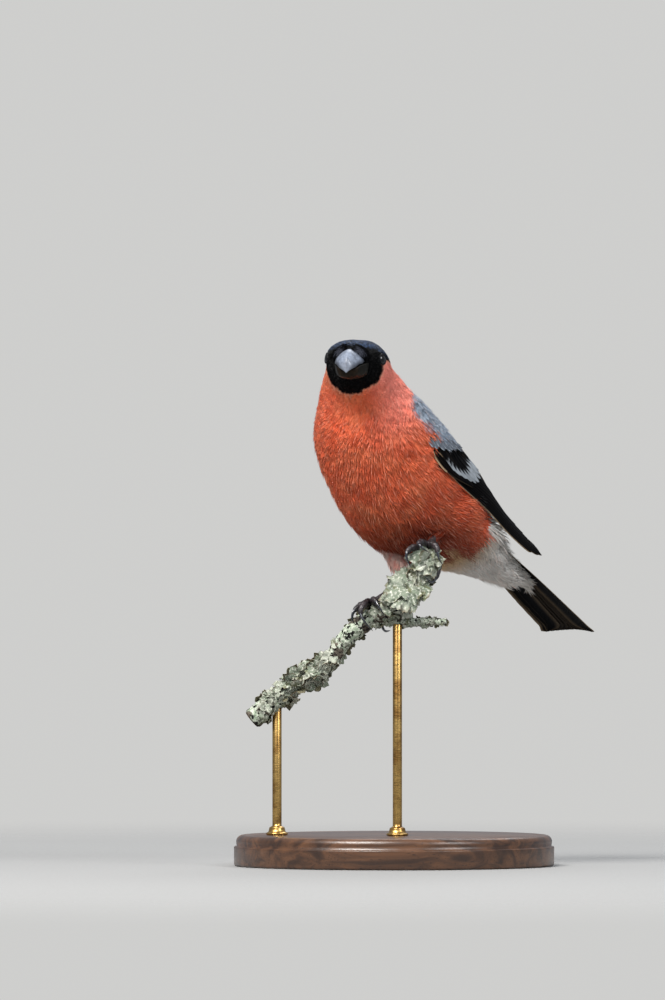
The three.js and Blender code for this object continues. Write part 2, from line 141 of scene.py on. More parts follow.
def axes(pitch: Any, heading: Any) -> tuple[Array, Array, Array]:
    """Back, left and up directions for a pitch down and a heading in degrees.

    Args:
        pitch: Degrees down towards the tail.
        heading: Degrees round the vertical.
    Returns:
        The three directions.
    """
    p, q = np.radians(pitch), np.radians(heading)
    zero = np.zeros_like(p * q)
    back = np.stack([np.cos(p) * np.sin(q), np.cos(p) * np.cos(q), -np.sin(p) + zero], -1)
    left = np.stack([np.cos(q) + zero, -np.sin(q) + zero, zero], -1)
    up = np.stack([np.sin(p) * np.sin(q), np.sin(p) * np.cos(q), np.cos(p) + zero], -1)
    return back, left, up


def along_axis(centre: Array, ahead: Array, side: Array, over: Array, rise: Array, reach: Array,
               turn: Array) -> Array:
    """Points round an axis.

    Args:
        centre: A point of the axis.
        ahead: Its direction.
        side: The direction at a turn of zero.
        over: The direction at a quarter turn.
        rise: Distances along it.
        reach: Distances from it.
        turn: Angles round it in radians.
    Returns:
        The points.
    """
    aside, above = reach * np.cos(turn), reach * np.sin(turn)
    return centre + ahead * rise[..., None] + side * aside[..., None] + over * above[..., None]


# the bird's frame, in millimetres, as in the part's own source
STATIONS = (
    (0, -6, 9, 4.4, 4.3, 4.8), (3, -3, 9, 7.4, 6.4, 8.2), (8, 6, 9, 9.1, 7.6, 10.6),
    (14, 21, 10, 10.2, 7.6, 12.6), (21, 38, 15, 12.1, 7.0, 14.6), (28, 51, 26, 15.4, 8.2, 17.6),
    (38, 60, 40, 20.6, 13.0, 21.8), (50, 57, 46, 23.4, 17.4, 24.2), (64, 50, 46, 23.4, 18.6, 23.2),
    (77, 41, 46, 20.6, 16.2, 19.2), (89, 31, 46, 15.4, 12.4, 13.0), (101, 26, 46, 10.2, 8.8, 8.4),
    (116, 28, 46, 7.6, 5.2, 4.4), (129, 33, 46, 4.0, 2.4, 1.2),
)
SPINE_START = np.array((-14.5, -34.0, 163.3))


class Spine:
    """The body's curved axis with its cross sections."""

    def __init__(self) -> None:
        """Walks the axis from its start by its pitch and heading."""
        self.pitch, self.heading, self.width, self.above, self.below = columns(STATIONS)
        self.grid = np.linspace(0, STATIONS[-1][0], 1201)
        back = axes(self.pitch(self.grid), self.heading(self.grid))[0]
        steps = np.cumsum((back[1:] + back[:-1]) / 2 * self.grid[1], axis=0)
        self.centres = SPINE_START + np.vstack([np.zeros(3), steps])

    def centre(self, s: Any) -> Array:
        """Points of the axis."""
        return np.stack([np.interp(s, self.grid, self.centres[:, k]) for k in range(3)], -1)

    def place(self, s: Any, a: Any, width: Any, above: Any, below: Any) -> Array:
        """Points on an ellipse pair round the axis.

        Args:
            s: Distance along the spine in millimetres.
            a: Angle in degrees, 0 the bird's left and 90 its back.
            width: Half width.
            above: Half height over the axis.
            below: Half height under it.
        Returns:
            The points.
        """
        _, left, up = axes(self.pitch(s), self.heading(s))
        rise = np.sin(np.radians(a))
        out = width * np.cos(np.radians(a))
        lift = np.where(rise > 0, above, below) * rise
        return self.centre(s) + left * np.asarray(out)[..., None] + up * np.asarray(lift)[..., None]

    def skin(self, s: Any, a: Any, grow: Any = 0.0) -> Array:
        """Points of the plumage's outline, moved outward."""
        return self.place(s, a, self.width(s) + grow, self.above(s) + grow, self.below(s) + grow)


SPINE = Spine()


def fullness(s: Any, e: Any, left: Any) -> Array:
    """How far the plumage stands out beyond the part's plain outline, in millimetres.

    Args:
        s: Distance along the spine in millimetres.
        e: Elevation round the body in degrees, -90 the belly and 90 the back.
        left: 1 on the bird's left and -1 on its right.
    Returns:
        The growth, below zero where the plumage is flatter.
    """
    own = smooth(left, -0.3, 0.3)
    head = 1.15 * own * smooth(s, 1.5, 5) * smooth(s, 19.5, 12.5) * smooth(e, -60, -30) * smooth(e, 80, 30)
    head = head - 0.35 * smooth(e, 50, 85) * smooth(s, 1, 4) * smooth(s, 26, 18)
    head = head + 0.4 * (1 - own) * bell(s, 6, 3) * bell(e, 27, 20)
    neck = 0.5 * bell(s, 26, 7) * bell(e, -15, 20) - 0.6 * own * bell(s, 29, 7) * bell(e, 31, 12)
    breast = -1.25 * bell(s, 52, 13) * bell(e, -52, 30)
    flank = 3.0 * smooth(s, 66, 78) * smooth(s, 112, 100) * smooth(e, -45, -5) * smooth(e, 60, 35)
    flank = flank + 2.4 * bell(s, 91, 6) * bell(e, 10, 15)
    flank = flank * (own + 0.35 * (1 - own) * smooth(e, 0, 10))
    rump = (1.6 * smooth(s, 78, 88) - 0.9 * smooth(s, 96, 104)) * smooth(e, 30, 42) * smooth(s, 118, 112)
    return head + neck + breast + flank + rump


# meshes
def mesh_object(name: str, points: Array, faces: Sequence, uvs: Array | None = None,
                layers: dict[str, Array] | None = None) -> Object:
    """A smooth mesh object at the origin.

    Args:
        name: The piece's name.
        points: Vertices in millimetres.
        faces: Vertex numbers of each face.
        uvs: A UV pair for each face corner, in the order of the faces.
        layers: Values for each vertex, one or three numbers each, by attribute name.
    Returns:
        The object, linked to the scene.
    """
    mesh = bpy.data.meshes.new(name)
    mesh.from_pydata((np.asarray(points) * MM).tolist(), [], [list(f) for f in faces])
    mesh.shade_smooth()
    if uvs is not None:
        mesh.uv_layers.new(name="OFBake").data.foreach_set("uv", np.asarray(uvs, np.float32).ravel())
    for key, values in (layers or {}).items():
        values = np.asarray(values, np.float32).reshape(len(points), -1)
        vector = values.shape[1] == 3
        layer = mesh.attributes.new(key, "FLOAT_VECTOR" if vector else "FLOAT", "POINT")
        layer.data.foreach_set("vector" if vector else "value", values.ravel())
    made = bpy.data.objects.new(name, mesh)
    bpy.context.scene.collection.objects.link(made)
    return made


def grid_faces(rows: int, cols: int, closed: bool = True) -> Array:
    """Quads between rows of equally many points, joined round when closed.

    Args:
        rows: How many rows.
        cols: Points in each row.
        closed: Whether a row's last point joins its first.
    Returns:
        Four vertex numbers for each face.
    """
    i, j = crossed(np.arange(rows - 1), np.arange(cols if closed else cols - 1))
    k = (j + 1) % cols
    quads = [i * cols + j, i * cols + k, (i + 1) * cols + k, (i + 1) * cols + j]
    return np.stack(quads, -1).reshape(-1, 4)


def outward(points: Array, faces: Sequence) -> list:
    """The faces of a closed shell, turned so that they point outward.

    Args:
        points: The shell's vertices.
        faces: Vertex numbers of each face.
    Returns:
        The faces, all turned or none.
    """
    volume = 0.0
    for face in faces:
        fan = points[list(face)]
        for k in range(1, len(face) - 1):
            volume += float(np.dot(fan[0], np.cross(fan[k], fan[k + 1])))
    return [tuple(f) if volume > 0 else tuple(f)[::-1] for f in faces]


@dataclass
class Parts:
    """Closed shells gathered into one mesh, with values for each vertex."""

    cells: int = 1
    points: list[Array] = field(default_factory=list)
    faces: list[tuple] = field(default_factory=list)
    uvs: list[Array] = field(default_factory=list)
    layers: dict[str, list[Array]] = field(default_factory=dict)
    count: int = 0

    def add(self, points: Array, faces: Sequence, corner_uv: Array, **layers: Array) -> "Parts":
        """Adds a shell, with its UV map in a cell of its own when there are cells.

        Args:
            points: Its vertices in millimetres.
            faces: Its faces, pointing outward.
            corner_uv: A UV pair for each face corner.
            layers: Values for each vertex, by attribute name, or one for all of them.
        Returns:
            The same parts.
        """
        column, row = len(self.points) % self.cells, len(self.points) // self.cells
        if self.cells > 1:
            corner_uv = (np.array((column, row)) + 0.03 + 0.94 * corner_uv) / self.cells
        self.points.append(points)
        self.faces.extend(tuple(int(v) + self.count for v in f) for f in faces)
        self.uvs.append(corner_uv)
        for key, values in layers.items():
            if np.ndim(values) == 0:
                values = np.full(len(points), float(values))
            self.layers.setdefault(key, []).append(np.asarray(values, float).reshape(len(points), -1))
        self.count += len(points)
        return self

    def build(self, name: str, material: Material | None = None) -> Object:
        """The gathered shells as one object, in its finish if it has one.

        Args:
            name: The piece's name.
            material: Its finish.
        Returns:
            The object.
        """
        layers = {key: np.concatenate(parts) for key, parts in self.layers.items()}
        made = mesh_object(name, np.concatenate(self.points), self.faces, np.concatenate(self.uvs), layers)
        if material is not None:
            made.data.materials.append(material)
        return made


def shelve(piece: Object, shelf: Collection) -> None:
    """Moves a shape that is repeated out of the scene to a collection, without its UV map.

    Args:
        piece: The shape.
        shelf: The collection.
    """
    piece.data.uv_layers.remove(piece.data.uv_layers["OFBake"])
    bpy.context.scene.collection.objects.unlink(piece)
    shelf.objects.link(piece)


def grid_uv(rows: int, cols: int, closed: bool = True) -> Array:
    """UV pairs for each corner of grid_faces, from the grid's own rows and columns.

    Args:
        rows: How many rows.
        cols: Points in each row.
        closed: Whether the rows are joined round.
    Returns:
        A pair for each corner.
    """
    i, j = crossed(np.arange(rows - 1), np.arange(cols if closed else cols - 1))
    corner = np.stack([np.stack(pair, -1) for pair in ((i, j), (i, j + 1), (i + 1, j + 1), (i + 1, j))], -2)
    return corner.reshape(-1, 2) / (rows - 1, cols if closed else cols - 1)


def grid_normals(points: Array, closed: bool = True) -> Array:
    """Outward directions of a grid of points.

    Args:
        points: Rows by columns by 3.
        closed: Whether the rows are joined round.
    Returns:
        A direction for each point.
    """
    across = np.gradient(points, axis=1)
    if closed:
        across = (np.roll(points, -1, 1) - np.roll(points, 1, 1)) / 2
    normal = unit(np.cross(across, np.gradient(points, axis=0)))
    inward = ((points - points.mean(1, keepdims=True)) * normal).sum() < 0
    return -normal if inward else normal


def tube_shell(rings: Array) -> tuple[Array, list[tuple], Array]:
    """A closed tube from rings of points.

    Args:
        rings: Rows by points round each row by 3.
    Returns:
        Vertices, the middles of both ends last, outward faces and a UV pair for each corner.
    """
    rows, cols = rings.shape[:2]
    points = np.vstack([rings.reshape(-1, 3), rings[0].mean(0), rings[-1].mean(0)])
    last, n = (rows - 1) * cols, rows * cols
    faces = [tuple(f) for f in grid_faces(rows, cols)]
    faces += [(n, (j + 1) % cols, j) for j in range(cols)]
    faces += [(n + 1, last + j, last + (j + 1) % cols) for j in range(cols)]
    uv = [tuple(pair) for pair in grid_uv(rows, cols)]
    for height in (0, 1):
        for j in range(cols):
            first, second = (j + 1, j) if height == 0 else (j, j + 1)
            uv += [(height, (j + 0.5) / cols), (height, first / cols), (height, second / cols)]
    uv = np.array(uv)
    turned = outward(points, faces)
    if turned[0] != faces[0]:
        ends = np.cumsum([len(f) for f in faces])
        uv = np.concatenate([part[::-1] for part in np.split(uv, ends[:-1])])
    return points, turned, uv


def sheet_shell(top: Array, bottom: Array) -> tuple[Array, list[tuple], Array]:
    """A closed thin vane between two sheets of rows by columns of points.

    Args:
        top: The upper sheet, rows by columns by 3.
        bottom: The lower sheet, alike.
    Returns:
        Vertices, outward faces and a UV pair for each corner, the sheets side by side.
    """
    rows, cols = top.shape[:2]
    points = np.vstack([top.reshape(-1, 3), bottom.reshape(-1, 3)])
    n = rows * cols
    quads = grid_faces(rows, cols, closed=False)
    at = np.arange(n).reshape(rows, cols)
    rim = np.concatenate([at[:-1, 0], at[-1, :-1], at[:0:-1, -1], at[0, :0:-1]])
    faces = [tuple(f) for f in quads] + [tuple(f[::-1] + n) for f in quads]
    faces += [(b, a, a + n, b + n) for a, b in zip(rim, np.roll(rim, -1))]
    faces = outward(points, faces)
    u, v = crossed(np.linspace(0, 1, rows), np.linspace(0, 1, cols))
    flat = np.stack([v, u], -1).reshape(-1, 2) * (0.49, 1)
    vertex_uv = np.vstack([flat, flat + (0.51, 0)])
    return points, faces, vertex_uv[np.concatenate([np.asarray(f) for f in faces])]


class Curve:
    """A centripetal curve through points, walked by its length."""

    def __init__(self, path: Sequence[Sequence[float]], steps: int = 60) -> None:
        """Walks the curve.

        Args:
            path: The points in millimetres.
            steps: Steps between two of them.
        """
        points = np.array(path, float)
        whole = np.vstack([2 * points[0] - points[1], points, 2 * points[-1] - points[-2]])
        pieces = []
        h = np.linspace(0, 1, steps, endpoint=False)[:, None]
        for i in range(len(points) - 1):
            p = whole[i:i + 4]
            d = np.sqrt(np.linalg.norm(np.diff(p, axis=0), axis=1))
            leave = ((p[1] - p[0]) / d[0] - (p[2] - p[0]) / (d[0] + d[1]) + (p[2] - p[1]) / d[1]) * d[1]
            reach = ((p[2] - p[1]) / d[1] - (p[3] - p[1]) / (d[1] + d[2]) + (p[3] - p[2]) / d[2]) * d[1]
            pieces.append(p[1] + leave * h + (3 * (p[2] - p[1]) - 2 * leave - reach) * h ** 2
                          + (2 * (p[1] - p[2]) + leave + reach) * h ** 3)
        self.points = np.vstack([*pieces, points[-1:]])
        self.far = np.append(0, np.cumsum(np.linalg.norm(np.diff(self.points, axis=0), axis=1)))

    @property
    def length(self) -> float:
        """The curve's length in millimetres."""
        return float(self.far[-1])

    def at(self, share: Array) -> Array:
        """Points at shares of the length."""
        return np.stack([np.interp(share * self.length, self.far, self.points[:, k]) for k in range(3)], -1)

    def frames(self, share: Array, up: Sequence[float] = (0, 0, 1)) -> tuple[Array, Array, Array]:
        """Points with a side and an up direction that twist as little as can be.

        Args:
            share: Shares of the length.
            up: Direction that the first up leans to.
        Returns:
            Points, side directions and up directions.
        """
        centre = self.at(share)
        tangent = unit(np.gradient(centre, axis=0))
        side = unit(np.cross(np.array(up, float), tangent[0]))
        sides = []
        for ahead in tangent:
            side = unit(side - ahead * np.dot(side, ahead))
            sides.append(side)
        return centre, np.array(sides), np.cross(tangent, np.array(sides))


def swept(curve: Curve, share: Array, radius: Array, cols: int, up: Sequence[float] = (0, 0, 1),
          flat: float = 1.0) -> Array:
    """Rings round a curve.

    Args:
        curve: The curve.
        share: Where along it the rings are.
        radius: Radii by ring, or by ring and point, angle 90 degrees being up.
        cols: Points round each ring.
        up: Direction that the first ring's up leans to.
        flat: Width of the section over its depth.
    Returns:
        Rows by cols by 3 points.
    """
    centre, side, over = curve.frames(share, up)
    a = turns(cols)
    radius = radius if radius.ndim == 2 else radius[:, None] + 0 * a
    ring = side[:, None] * np.cos(a)[:, None] * flat + over[:, None] * np.sin(a)[:, None]
    return centre[:, None] + ring * radius[..., None]


class Ripple:
    """Smooth seeded noise over points, of about a given grain in millimetres."""

    def __init__(self, seed: int, grain: float, waves: int = 16) -> None:
        """Draws the waves.

        Args:
            seed: Its seed.
            grain: Size of its lumps.
            waves: How many waves it sums.
        """
        rng = np.random.default_rng(seed)
        way = unit(rng.normal(size=(waves, 3)))
        self.k = way * (2 * math.pi / grain) * rng.uniform(0.6, 1.6, (waves, 1))
        self.phase = rng.uniform(0, 2 * math.pi, waves)

    def __call__(self, points: Array) -> Array:
        """The noise at points, mostly between -1 and 1."""
        return np.sin(points @ self.k.T + self.phase).mean(-1) * math.sqrt(len(self.phase)) * 0.8


# node trees
class Wiring:
    """Adds nodes to a tree and joins them, so that a tree reads as its formulas."""

    def __init__(self, tree: bpy.types.NodeTree) -> None:
        """Takes the tree to add to."""
        self.tree = tree

    def node(self, kind: str, inputs: dict | None = None, **settings: Any) -> bpy.types.Node:
        """A node of a kind, with its settings and its inputs linked or set.

        Args:
            kind: The node's type.
            inputs: Sockets or values, by the input's name or number.
            settings: The node's own properties.
        Returns:
            The node.
        """
        node = self.tree.nodes.new(kind)
        for key, value in settings.items():
            setattr(node, key, value)
        for key, value in (inputs or {}).items():
            if isinstance(value, bpy.types.NodeSocket):
                self.tree.links.new(value, node.inputs[key])
            else:
                node.inputs[key].default_value = value
        return node

    def math(self, operation: str, *values: Any) -> Socket:
        """The result of a Math node."""
        return self.node("ShaderNodeMath", dict(enumerate(values)), operation=operation).outputs[0]

    def times(self, first: Any, second: Any) -> Socket:
        """A product."""
        return self.math("MULTIPLY", first, second)

    def plus(self, first: Any, second: Any) -> Socket:
        """A sum."""
        return self.math("ADD", first, second)

    def vector(self, operation: str, *values: Any, **more: Any) -> Socket:
        """The first result of a Vector Math node; scale= sets its Scale."""
        inputs = {**dict(enumerate(values)), **{k.title(): v for k, v in more.items()}}
        return self.node("ShaderNodeVectorMath", inputs, operation=operation).outputs[0]

    def value(self, name: str) -> Socket:
        """A shader's number from an attribute."""
        return self.node("ShaderNodeAttribute", attribute_name=name).outputs["Fac"]

    def triple(self, name: str) -> Socket:
        """A shader's vector from an attribute."""
        return self.node("ShaderNodeAttribute", attribute_name=name).outputs["Vector"]

    def step(self, value: Any, low: Any, high: Any, to_low: Any = 0.0, to_high: Any = 1.0) -> Socket:
        """An eased step of a value from to_low at low to to_high at high."""
        inputs = {"Value": value, "From Min": low, "From Max": high, "To Min": to_low, "To Max": to_high}
        return self.node("ShaderNodeMapRange", inputs, interpolation_type="SMOOTHSTEP").outputs[0]

    def mix(self, share: Any, first: Any, second: Any, blend: str = "MIX") -> Socket:
        """A mix of two colours.

        Args:
            share: Share of the second.
            first: A socket, a linear colour or a screen colour of three numbers.
            second: The other one, alike.
            blend: How they mix.
        Returns:
            The colour.
        """
        pair = [colour(*c) if isinstance(c, tuple) and len(c) == 3 else c for c in (first, second)]
        inputs = {0: share, 6: pair[0], 7: pair[1]}
        return self.node("ShaderNodeMix", inputs, data_type="RGBA", blend_type=blend).outputs[2]

    def where(self) -> Socket:
        """Object coordinates."""
        return self.node("ShaderNodeTexCoord").outputs["Object"]

    def noise(self, scale: float, detail: float = 3.0) -> Socket:
        """A noise factor on object coordinates."""
        inputs = {"Vector": self.where(), "Scale": scale, "Detail": detail}
        return self.node("ShaderNodeTexNoise", inputs).outputs[0]

    def streaks(self, scales: Triple, detail: float, distortion: float = 0.0) -> Socket:
        """A noise factor with a scale of its own along each axis.

        Args:
            scales: The scale along each axis.
            detail: Its detail.
            distortion: Its distortion.
        Returns:
            The factor.
        """
        where = self.node("ShaderNodeMapping", {"Vector": self.where(), "Scale": scales}).outputs[0]
        inputs = {"Vector": where, "Scale": 1.0, "Detail": detail, "Distortion": distortion}
        return self.node("ShaderNodeTexNoise", inputs).outputs[0]

    def patchy(self, scale: float, low: float, high: float) -> Socket:
        """A number that noise moves between low and high over the surface."""
        return self.step(self.noise(scale), 0.3, 0.7, low, high)

    def bump(self, height: Any, distance: float, strength: float = 1.0, normal: Any = None) -> Socket:
        """A Bump node's normal.

        Args:
            height: The height.
            distance: Depth in metres.
            strength: Share of the effect.
            normal: A normal to start from.
        Returns:
            The normal.
        """
        inputs = {"Height": height, "Distance": distance, "Strength": strength}
        if normal is not None:
            inputs["Normal"] = normal
        return self.node("ShaderNodeBump", inputs).outputs[0]


def colour(red: float, green: float, blue: float, gain: float = 1.0) -> Colour:
    """A screen colour of 0 to 255 as a linear one, brighter by a gain.

    Args:
        red: Red.
        green: Green.
        blue: Blue.
        gain: What it is multiplied by.
    Returns:
        The linear colour.
    """
    def linear(c: float) -> float:
        """One channel as a linear one."""
        c /= 255
        return c / 12.92 if c <= 0.04045 else ((c + 0.055) / 1.055) ** 2.4
    return (gain * linear(red), gain * linear(green), gain * linear(blue), 1.0)


class Effects:
    """Shader node groups that several finishes share, each built once."""

    made: dict[str, bpy.types.NodeTree] = {}

    @classmethod
    def group(cls, name: str, inputs: dict[str, float | None],
              fill: Callable[[Wiring, Any], Sockets]) -> bpy.types.NodeTree:
        """Builds a group once.

        Args:
            name: The group's name.
            inputs: A number's value, or None for a vector, by the input's name.
            fill: Makes the nodes from the wiring and the inputs' sockets, and gives the outputs.
        Returns:
            The group.
        """
        if name not in cls.made:
            tree = bpy.data.node_groups.new(name, "ShaderNodeTree")
            for key, value in inputs.items():
                kind = "NodeSocketVector" if value is None else "NodeSocketFloat"
                socket = tree.interface.new_socket(key, in_out="INPUT", socket_type=kind)
                if value is not None:
                    socket.default_value = value
            entry, leave = tree.nodes.new("NodeGroupInput"), tree.nodes.new("NodeGroupOutput")
            for key, socket in fill(Wiring(tree), entry.outputs).items():
                tree.interface.new_socket(key, in_out="OUTPUT", socket_type="NodeSocketFloat")
                tree.links.new(socket, leave.inputs[key])
            cls.made[name] = tree
        return cls.made[name]

    @classmethod
    def grain(cls) -> bpy.types.NodeTree:
        """Fine and broad noise on object coordinates: a mask and a height."""
        def fill(w: Wiring, given: Any) -> Sockets:
            """Two noises, summed.

            Args:
                w: The group's wiring.
                given: Its inputs.
            Returns:
                Its outputs.
            """
            def noise(scale: Socket, detail: float) -> Socket:
                """Noise on the given vector."""
                inputs = {"Vector": given["Vector"], "Scale": scale, "Detail": detail}
                return w.node("ShaderNodeTexNoise", inputs).outputs[0]

            fine, broad = noise(given["Scale"], 4.0), noise(w.times(given["Scale"], 0.17), 2.0)
            height = w.plus(w.times(fine, 0.55), w.times(broad, 0.45))
            return {"Mask": w.step(height, 0.4, 0.6), "Height": height}
        return cls.group("Grain", {"Vector": None, "Scale": 900.0}, fill)

    @classmethod
    def barbs(cls) -> bpy.types.NodeTree:
        """The slanting barbs of a vane on its UV map, with its shaft: a height and a shaft mask."""
        def fill(w: Wiring, given: Any) -> Sockets:
            """A slanting wave and a ridge.

            Args:
                w: The group's wiring.
                given: Its inputs.
            Returns:
                Its outputs.
            """
            across, along = w.node("ShaderNodeSeparateXYZ", {0: w.triple("vane")}).outputs[:2]
            spread = w.math("ABSOLUTE", across)
            wobble = w.noise(900.0, 2.0)
            slant = w.plus(w.times(along, given["Count"]), w.times(spread, w.times(given["Count"], -0.09)))
            wave = w.math("SINE", w.plus(w.times(slant, 6.283), w.times(wobble, 5.0)))
            shaft = w.step(spread, 0.05, 0.02)
            return {"Height": w.plus(w.times(wave, 0.3), shaft), "Shaft": shaft}
        return cls.group("Barbs", {"Count": 60.0}, fill)


class Finish:
    """A material on the Principled shader."""

    name: str
    plain: dict[str, float]

    def wire(self, w: Wiring) -> Sockets:
        """Makes the nodes, and gives the sockets to link by the shader's input name."""
        raise NotImplementedError

    def material(self) -> Material:
        """The material, with its plain values set on the shader itself."""
        material = bpy.data.materials.new(self.name)
        material.use_nodes = True
        shader = material.node_tree.nodes["Principled BSDF"]
        for key, value in self.plain.items():
            shader.inputs[key].default_value = value
        for key, socket in self.wire(Wiring(material.node_tree)).items():
            material.node_tree.links.new(socket, shader.inputs[key])
        return material


@dataclass(frozen=True)
class PlumageFinish(Finish):
    """Soft plumage with the bird's markings, for the skin and for the coat over it."""

    name: str
    roughness: float = 0.85
    specular: float = 0.1
    sheen: float = 0.12
    smoothing: float = 0.3
    rooted: float = 0.85

    @property
    def plain(self) -> dict[str, float]:
        """Its plain values."""
        return {"Sheen Weight": self.sheen, "Sheen Roughness": 0.45, "Specular IOR Level": self.specular}

    @staticmethod
    def fields(w: Wiring, stray: Socket) -> Socket:
        """The colour of the field that the tuft's root lies in.

        Args:
            w: The material's wiring.
            stray: A number of each tuft, about zero.
        Returns:
            The colour.
        """
        broad, patch = w.noise(60.0, 2.0), w.noise(170.0, 3.0)
        red = w.mix(w.step(patch, 0.35, 0.7), (226, 95, 52), (236, 120, 77))
        red = w.mix(w.step(broad, 0.5, 0.72, 0.0, 0.4), red, (226, 134, 84))
        red = w.mix(w.value("rosy"), red, (246, 150, 134))
        # Painted shade: red darkened low on the belly and on the near thigh.
        red = w.mix(w.value("dusk"), red, (112, 36, 12))
        halo = w.step(w.plus(w.value("cap_in"), w.times(stray, 2.0)), -3.2, -0.4, 0.0, 0.6)
        red = w.mix(halo, red, (240, 182, 152))
        grey = w.mix(w.step(patch, 0.35, 0.7), (128, 142, 158), (162, 174, 188))
        # Under the vent: partly its own buff, partly painted shade with warm reflected light.
        white = w.mix(w.value("buff"), (224, 226, 224), (196, 164, 116))
        white = w.mix(w.times(w.value("rosy"), 0.6), white, (240, 190, 172))
        # Painted sheen: the cap's blue gloss painted into the colour, in a band over the crown.
        crown = w.mix(w.step(w.noise(1100.0, 2.0), 0.38, 0.6), (18, 26, 40), (52, 68, 96))
        black = w.mix(w.value("crown"), (4, 4, 5), crown)
        black = w.mix(w.value("nasal"), black, (66, 68, 78))

        def side(name: str, width: float, jitter: float) -> Socket:
            """Which side of a field's ragged edge this is."""
            edge = w.plus(w.value(name), w.times(stray, jitter))
            return w.step(edge, -width, width)

        base = w.mix(side("grey_in", 3.0, 6.0), red, grey)
        base = w.mix(side("white_in", 3.0, 3.6), base, white)
        return w.mix(side("cap_in", 0.25, 0.8), base, black)

    def wire(self, w: Wiring) -> Sockets:
        """Colours by the tuft's root, with painted shade low in the coat, and the normal, eased towards the
        skin's.

        Args:
            w: The material's wiring.
        Returns:
            The shader's sockets.
        """
        tuft, barb, along = w.value("tuft"), w.value("barb"), w.value("along")
        stray = w.math("SUBTRACT", tuft, 0.5)
        base = self.fields(w, stray)
        # Painted shade: each strand darker towards its root, deep in the coat, strongest on the crown.
        shade = w.times(w.step(along, 0.0, 0.7, self.rooted, 1.0), w.step(stray, -0.5, 0.5, 0.95, 1.06))
        shade = w.times(shade, w.step(barb, 0.0, 1.0, 0.94, 1.06))
        grey = w.node("ShaderNodeCombineXYZ", {0: shade, 1: shade, 2: shade}).outputs[0]
        base = w.mix(1.0, base, grey, "MULTIPLY")
        # Painted highlight: pale glints along the strands near their tips, kept off the black cap.
        pale = w.times(w.step(barb, 0.78, 0.98), w.step(along, 0.3, 0.9))
        pale = w.times(pale, w.math("SUBTRACT", 1.0, w.step(w.value("cap_in"), -0.5, 0.0)))
        base = w.mix(w.times(pale, 0.36), base, (246, 196, 172))
        true = w.node("ShaderNodeNewGeometry").outputs["Normal"]
        inputs = {0: self.smoothing, 4: true, 5: w.triple("root_up")}
        eased = w.node("ShaderNodeMix", inputs, data_type="VECTOR").outputs[1]
        rough = w.step(w.value("crown"), 0.0, 1.0, self.roughness, 0.5)
        return {"Base Color": base, "Roughness": rough, "Normal": w.vector("NORMALIZE", eased)}


# the coat
CAP_EDGE = {
    Side.RIGHT: ((-87, 8.5), (-76, 8.6), (-66, 9.3), (-45, 9.7), (-33, 10.7), (-21, 11.1), (0, 12.4),
                 (25, 17.2), (50, 21.4), (90, 23.6)),
    Side.LEFT: ((-82, 8.2), (-73, 7.8), (-62, 7.2), (-51, 7.3), (-39, 7.7), (-29, 7.7), (-12, 7.5),
                (-5, 7.8), (1, 8.8), (10, 12.5), (20, 17.6), (50, 21.4), (90, 23.6)),
}
CROWN_FROM = ((14, 6.7), (21, 5.5), (28, 4.5), (35, 3.5), (47, 2.5), (62, 1.8), (80, 1.3))
GREY_FROM = ((12, 66), (17, 52), (22, 42), (26.5, 32), (28.9, -3), (32.3, -4), (34.9, -5), (38, -4),
             (41.4, 4), (44.8, 9), (48.2, 10), (60, 16), (80, 22))


def lookup(x: Array, pairs: Sequence[tuple[float, float]]) -> Array:
    """Values between a table's pairs."""
    return np.interp(x, *zip(*pairs))


def cap_edge(e: Array, left: Array) -> Array:
    """Where the black cap and bib end along the spine, at an elevation round the body."""
    own = smooth(left, -0.12, 0.12)
    return own * lookup(e, CAP_EDGE[Side.LEFT]) + (1 - own) * lookup(e, CAP_EDGE[Side.RIGHT])


def markings(s: Array, e: Array, left: Array) -> dict[str, Array]:
    """The bird's colours, as how far inside each field a point lies.

    Args:
        s: Distance along the spine in millimetres.
        e: Elevation round the body in degrees, -90 the belly and 90 the back.
        left: 1 on the bird's left and -1 on its right.
    Returns:
        Values by attribute name: millimetres inside the cap, degrees inside the grey and the
        white, and shares of rosy colour, painted shade and the crown's painted blue sheen.
    """
    white_from = np.interp(e, (-90, -60, -35, 0, 25, 35, 90), (81, 83, 89, 86, 80, 81, 82))
    throat = smooth(s, 44, 24) * smooth(e, -75, -5)
    # Black coat from the folded wing's edge up to the grey: painted shade under the wing, in the wing's own
    # black.
    wing = np.minimum(e - lookup(s, WING_SHADE), lookup(s, GREY_FROM) - e)
    wing = 3 * np.minimum(wing, np.minimum(s - 46, 77 - s))
    return {
        "cap_in": np.maximum(cap_edge(e, left) - 0.25 - s, wing),
        "grey_in": e - lookup(s, GREY_FROM),
        "white_in": (s - white_from) * 1.5 + 13 * bell(s, 80, 4) * bell(e, -44, 7) * smooth(left, 0, 0.4),
        # Buff under the vent: partly its own colour, partly painted shade with warm reflected light.
        "buff": 0.85 * smooth(s, 99, 84) * smooth(e, 15, -30) + 0.12,
        "rosy": 0.85 * throat * smooth(left, -1.0, 0.5) + 0.08,
        # Painted shade, darker towards the bottom of the belly.
        "dusk": 0.9 * smooth(s, 50, 76) * smooth(e, 20, -45),
        # Band over the crown where the cap's blue gloss is painted in as colour.
        "crown": smooth(e, 14, 24) * smooth(s - lookup(e, CROWN_FROM), -0.3, 0.5),
        "nasal": 0.0 * s,
    }


EYE_ALONG, EYE_TURN, EYE_RADIUS = 7.0, 26.0, 2.2
EYES = {Side.LEFT: (3.0, 1.65), Side.RIGHT: (7.5, 2.0)}


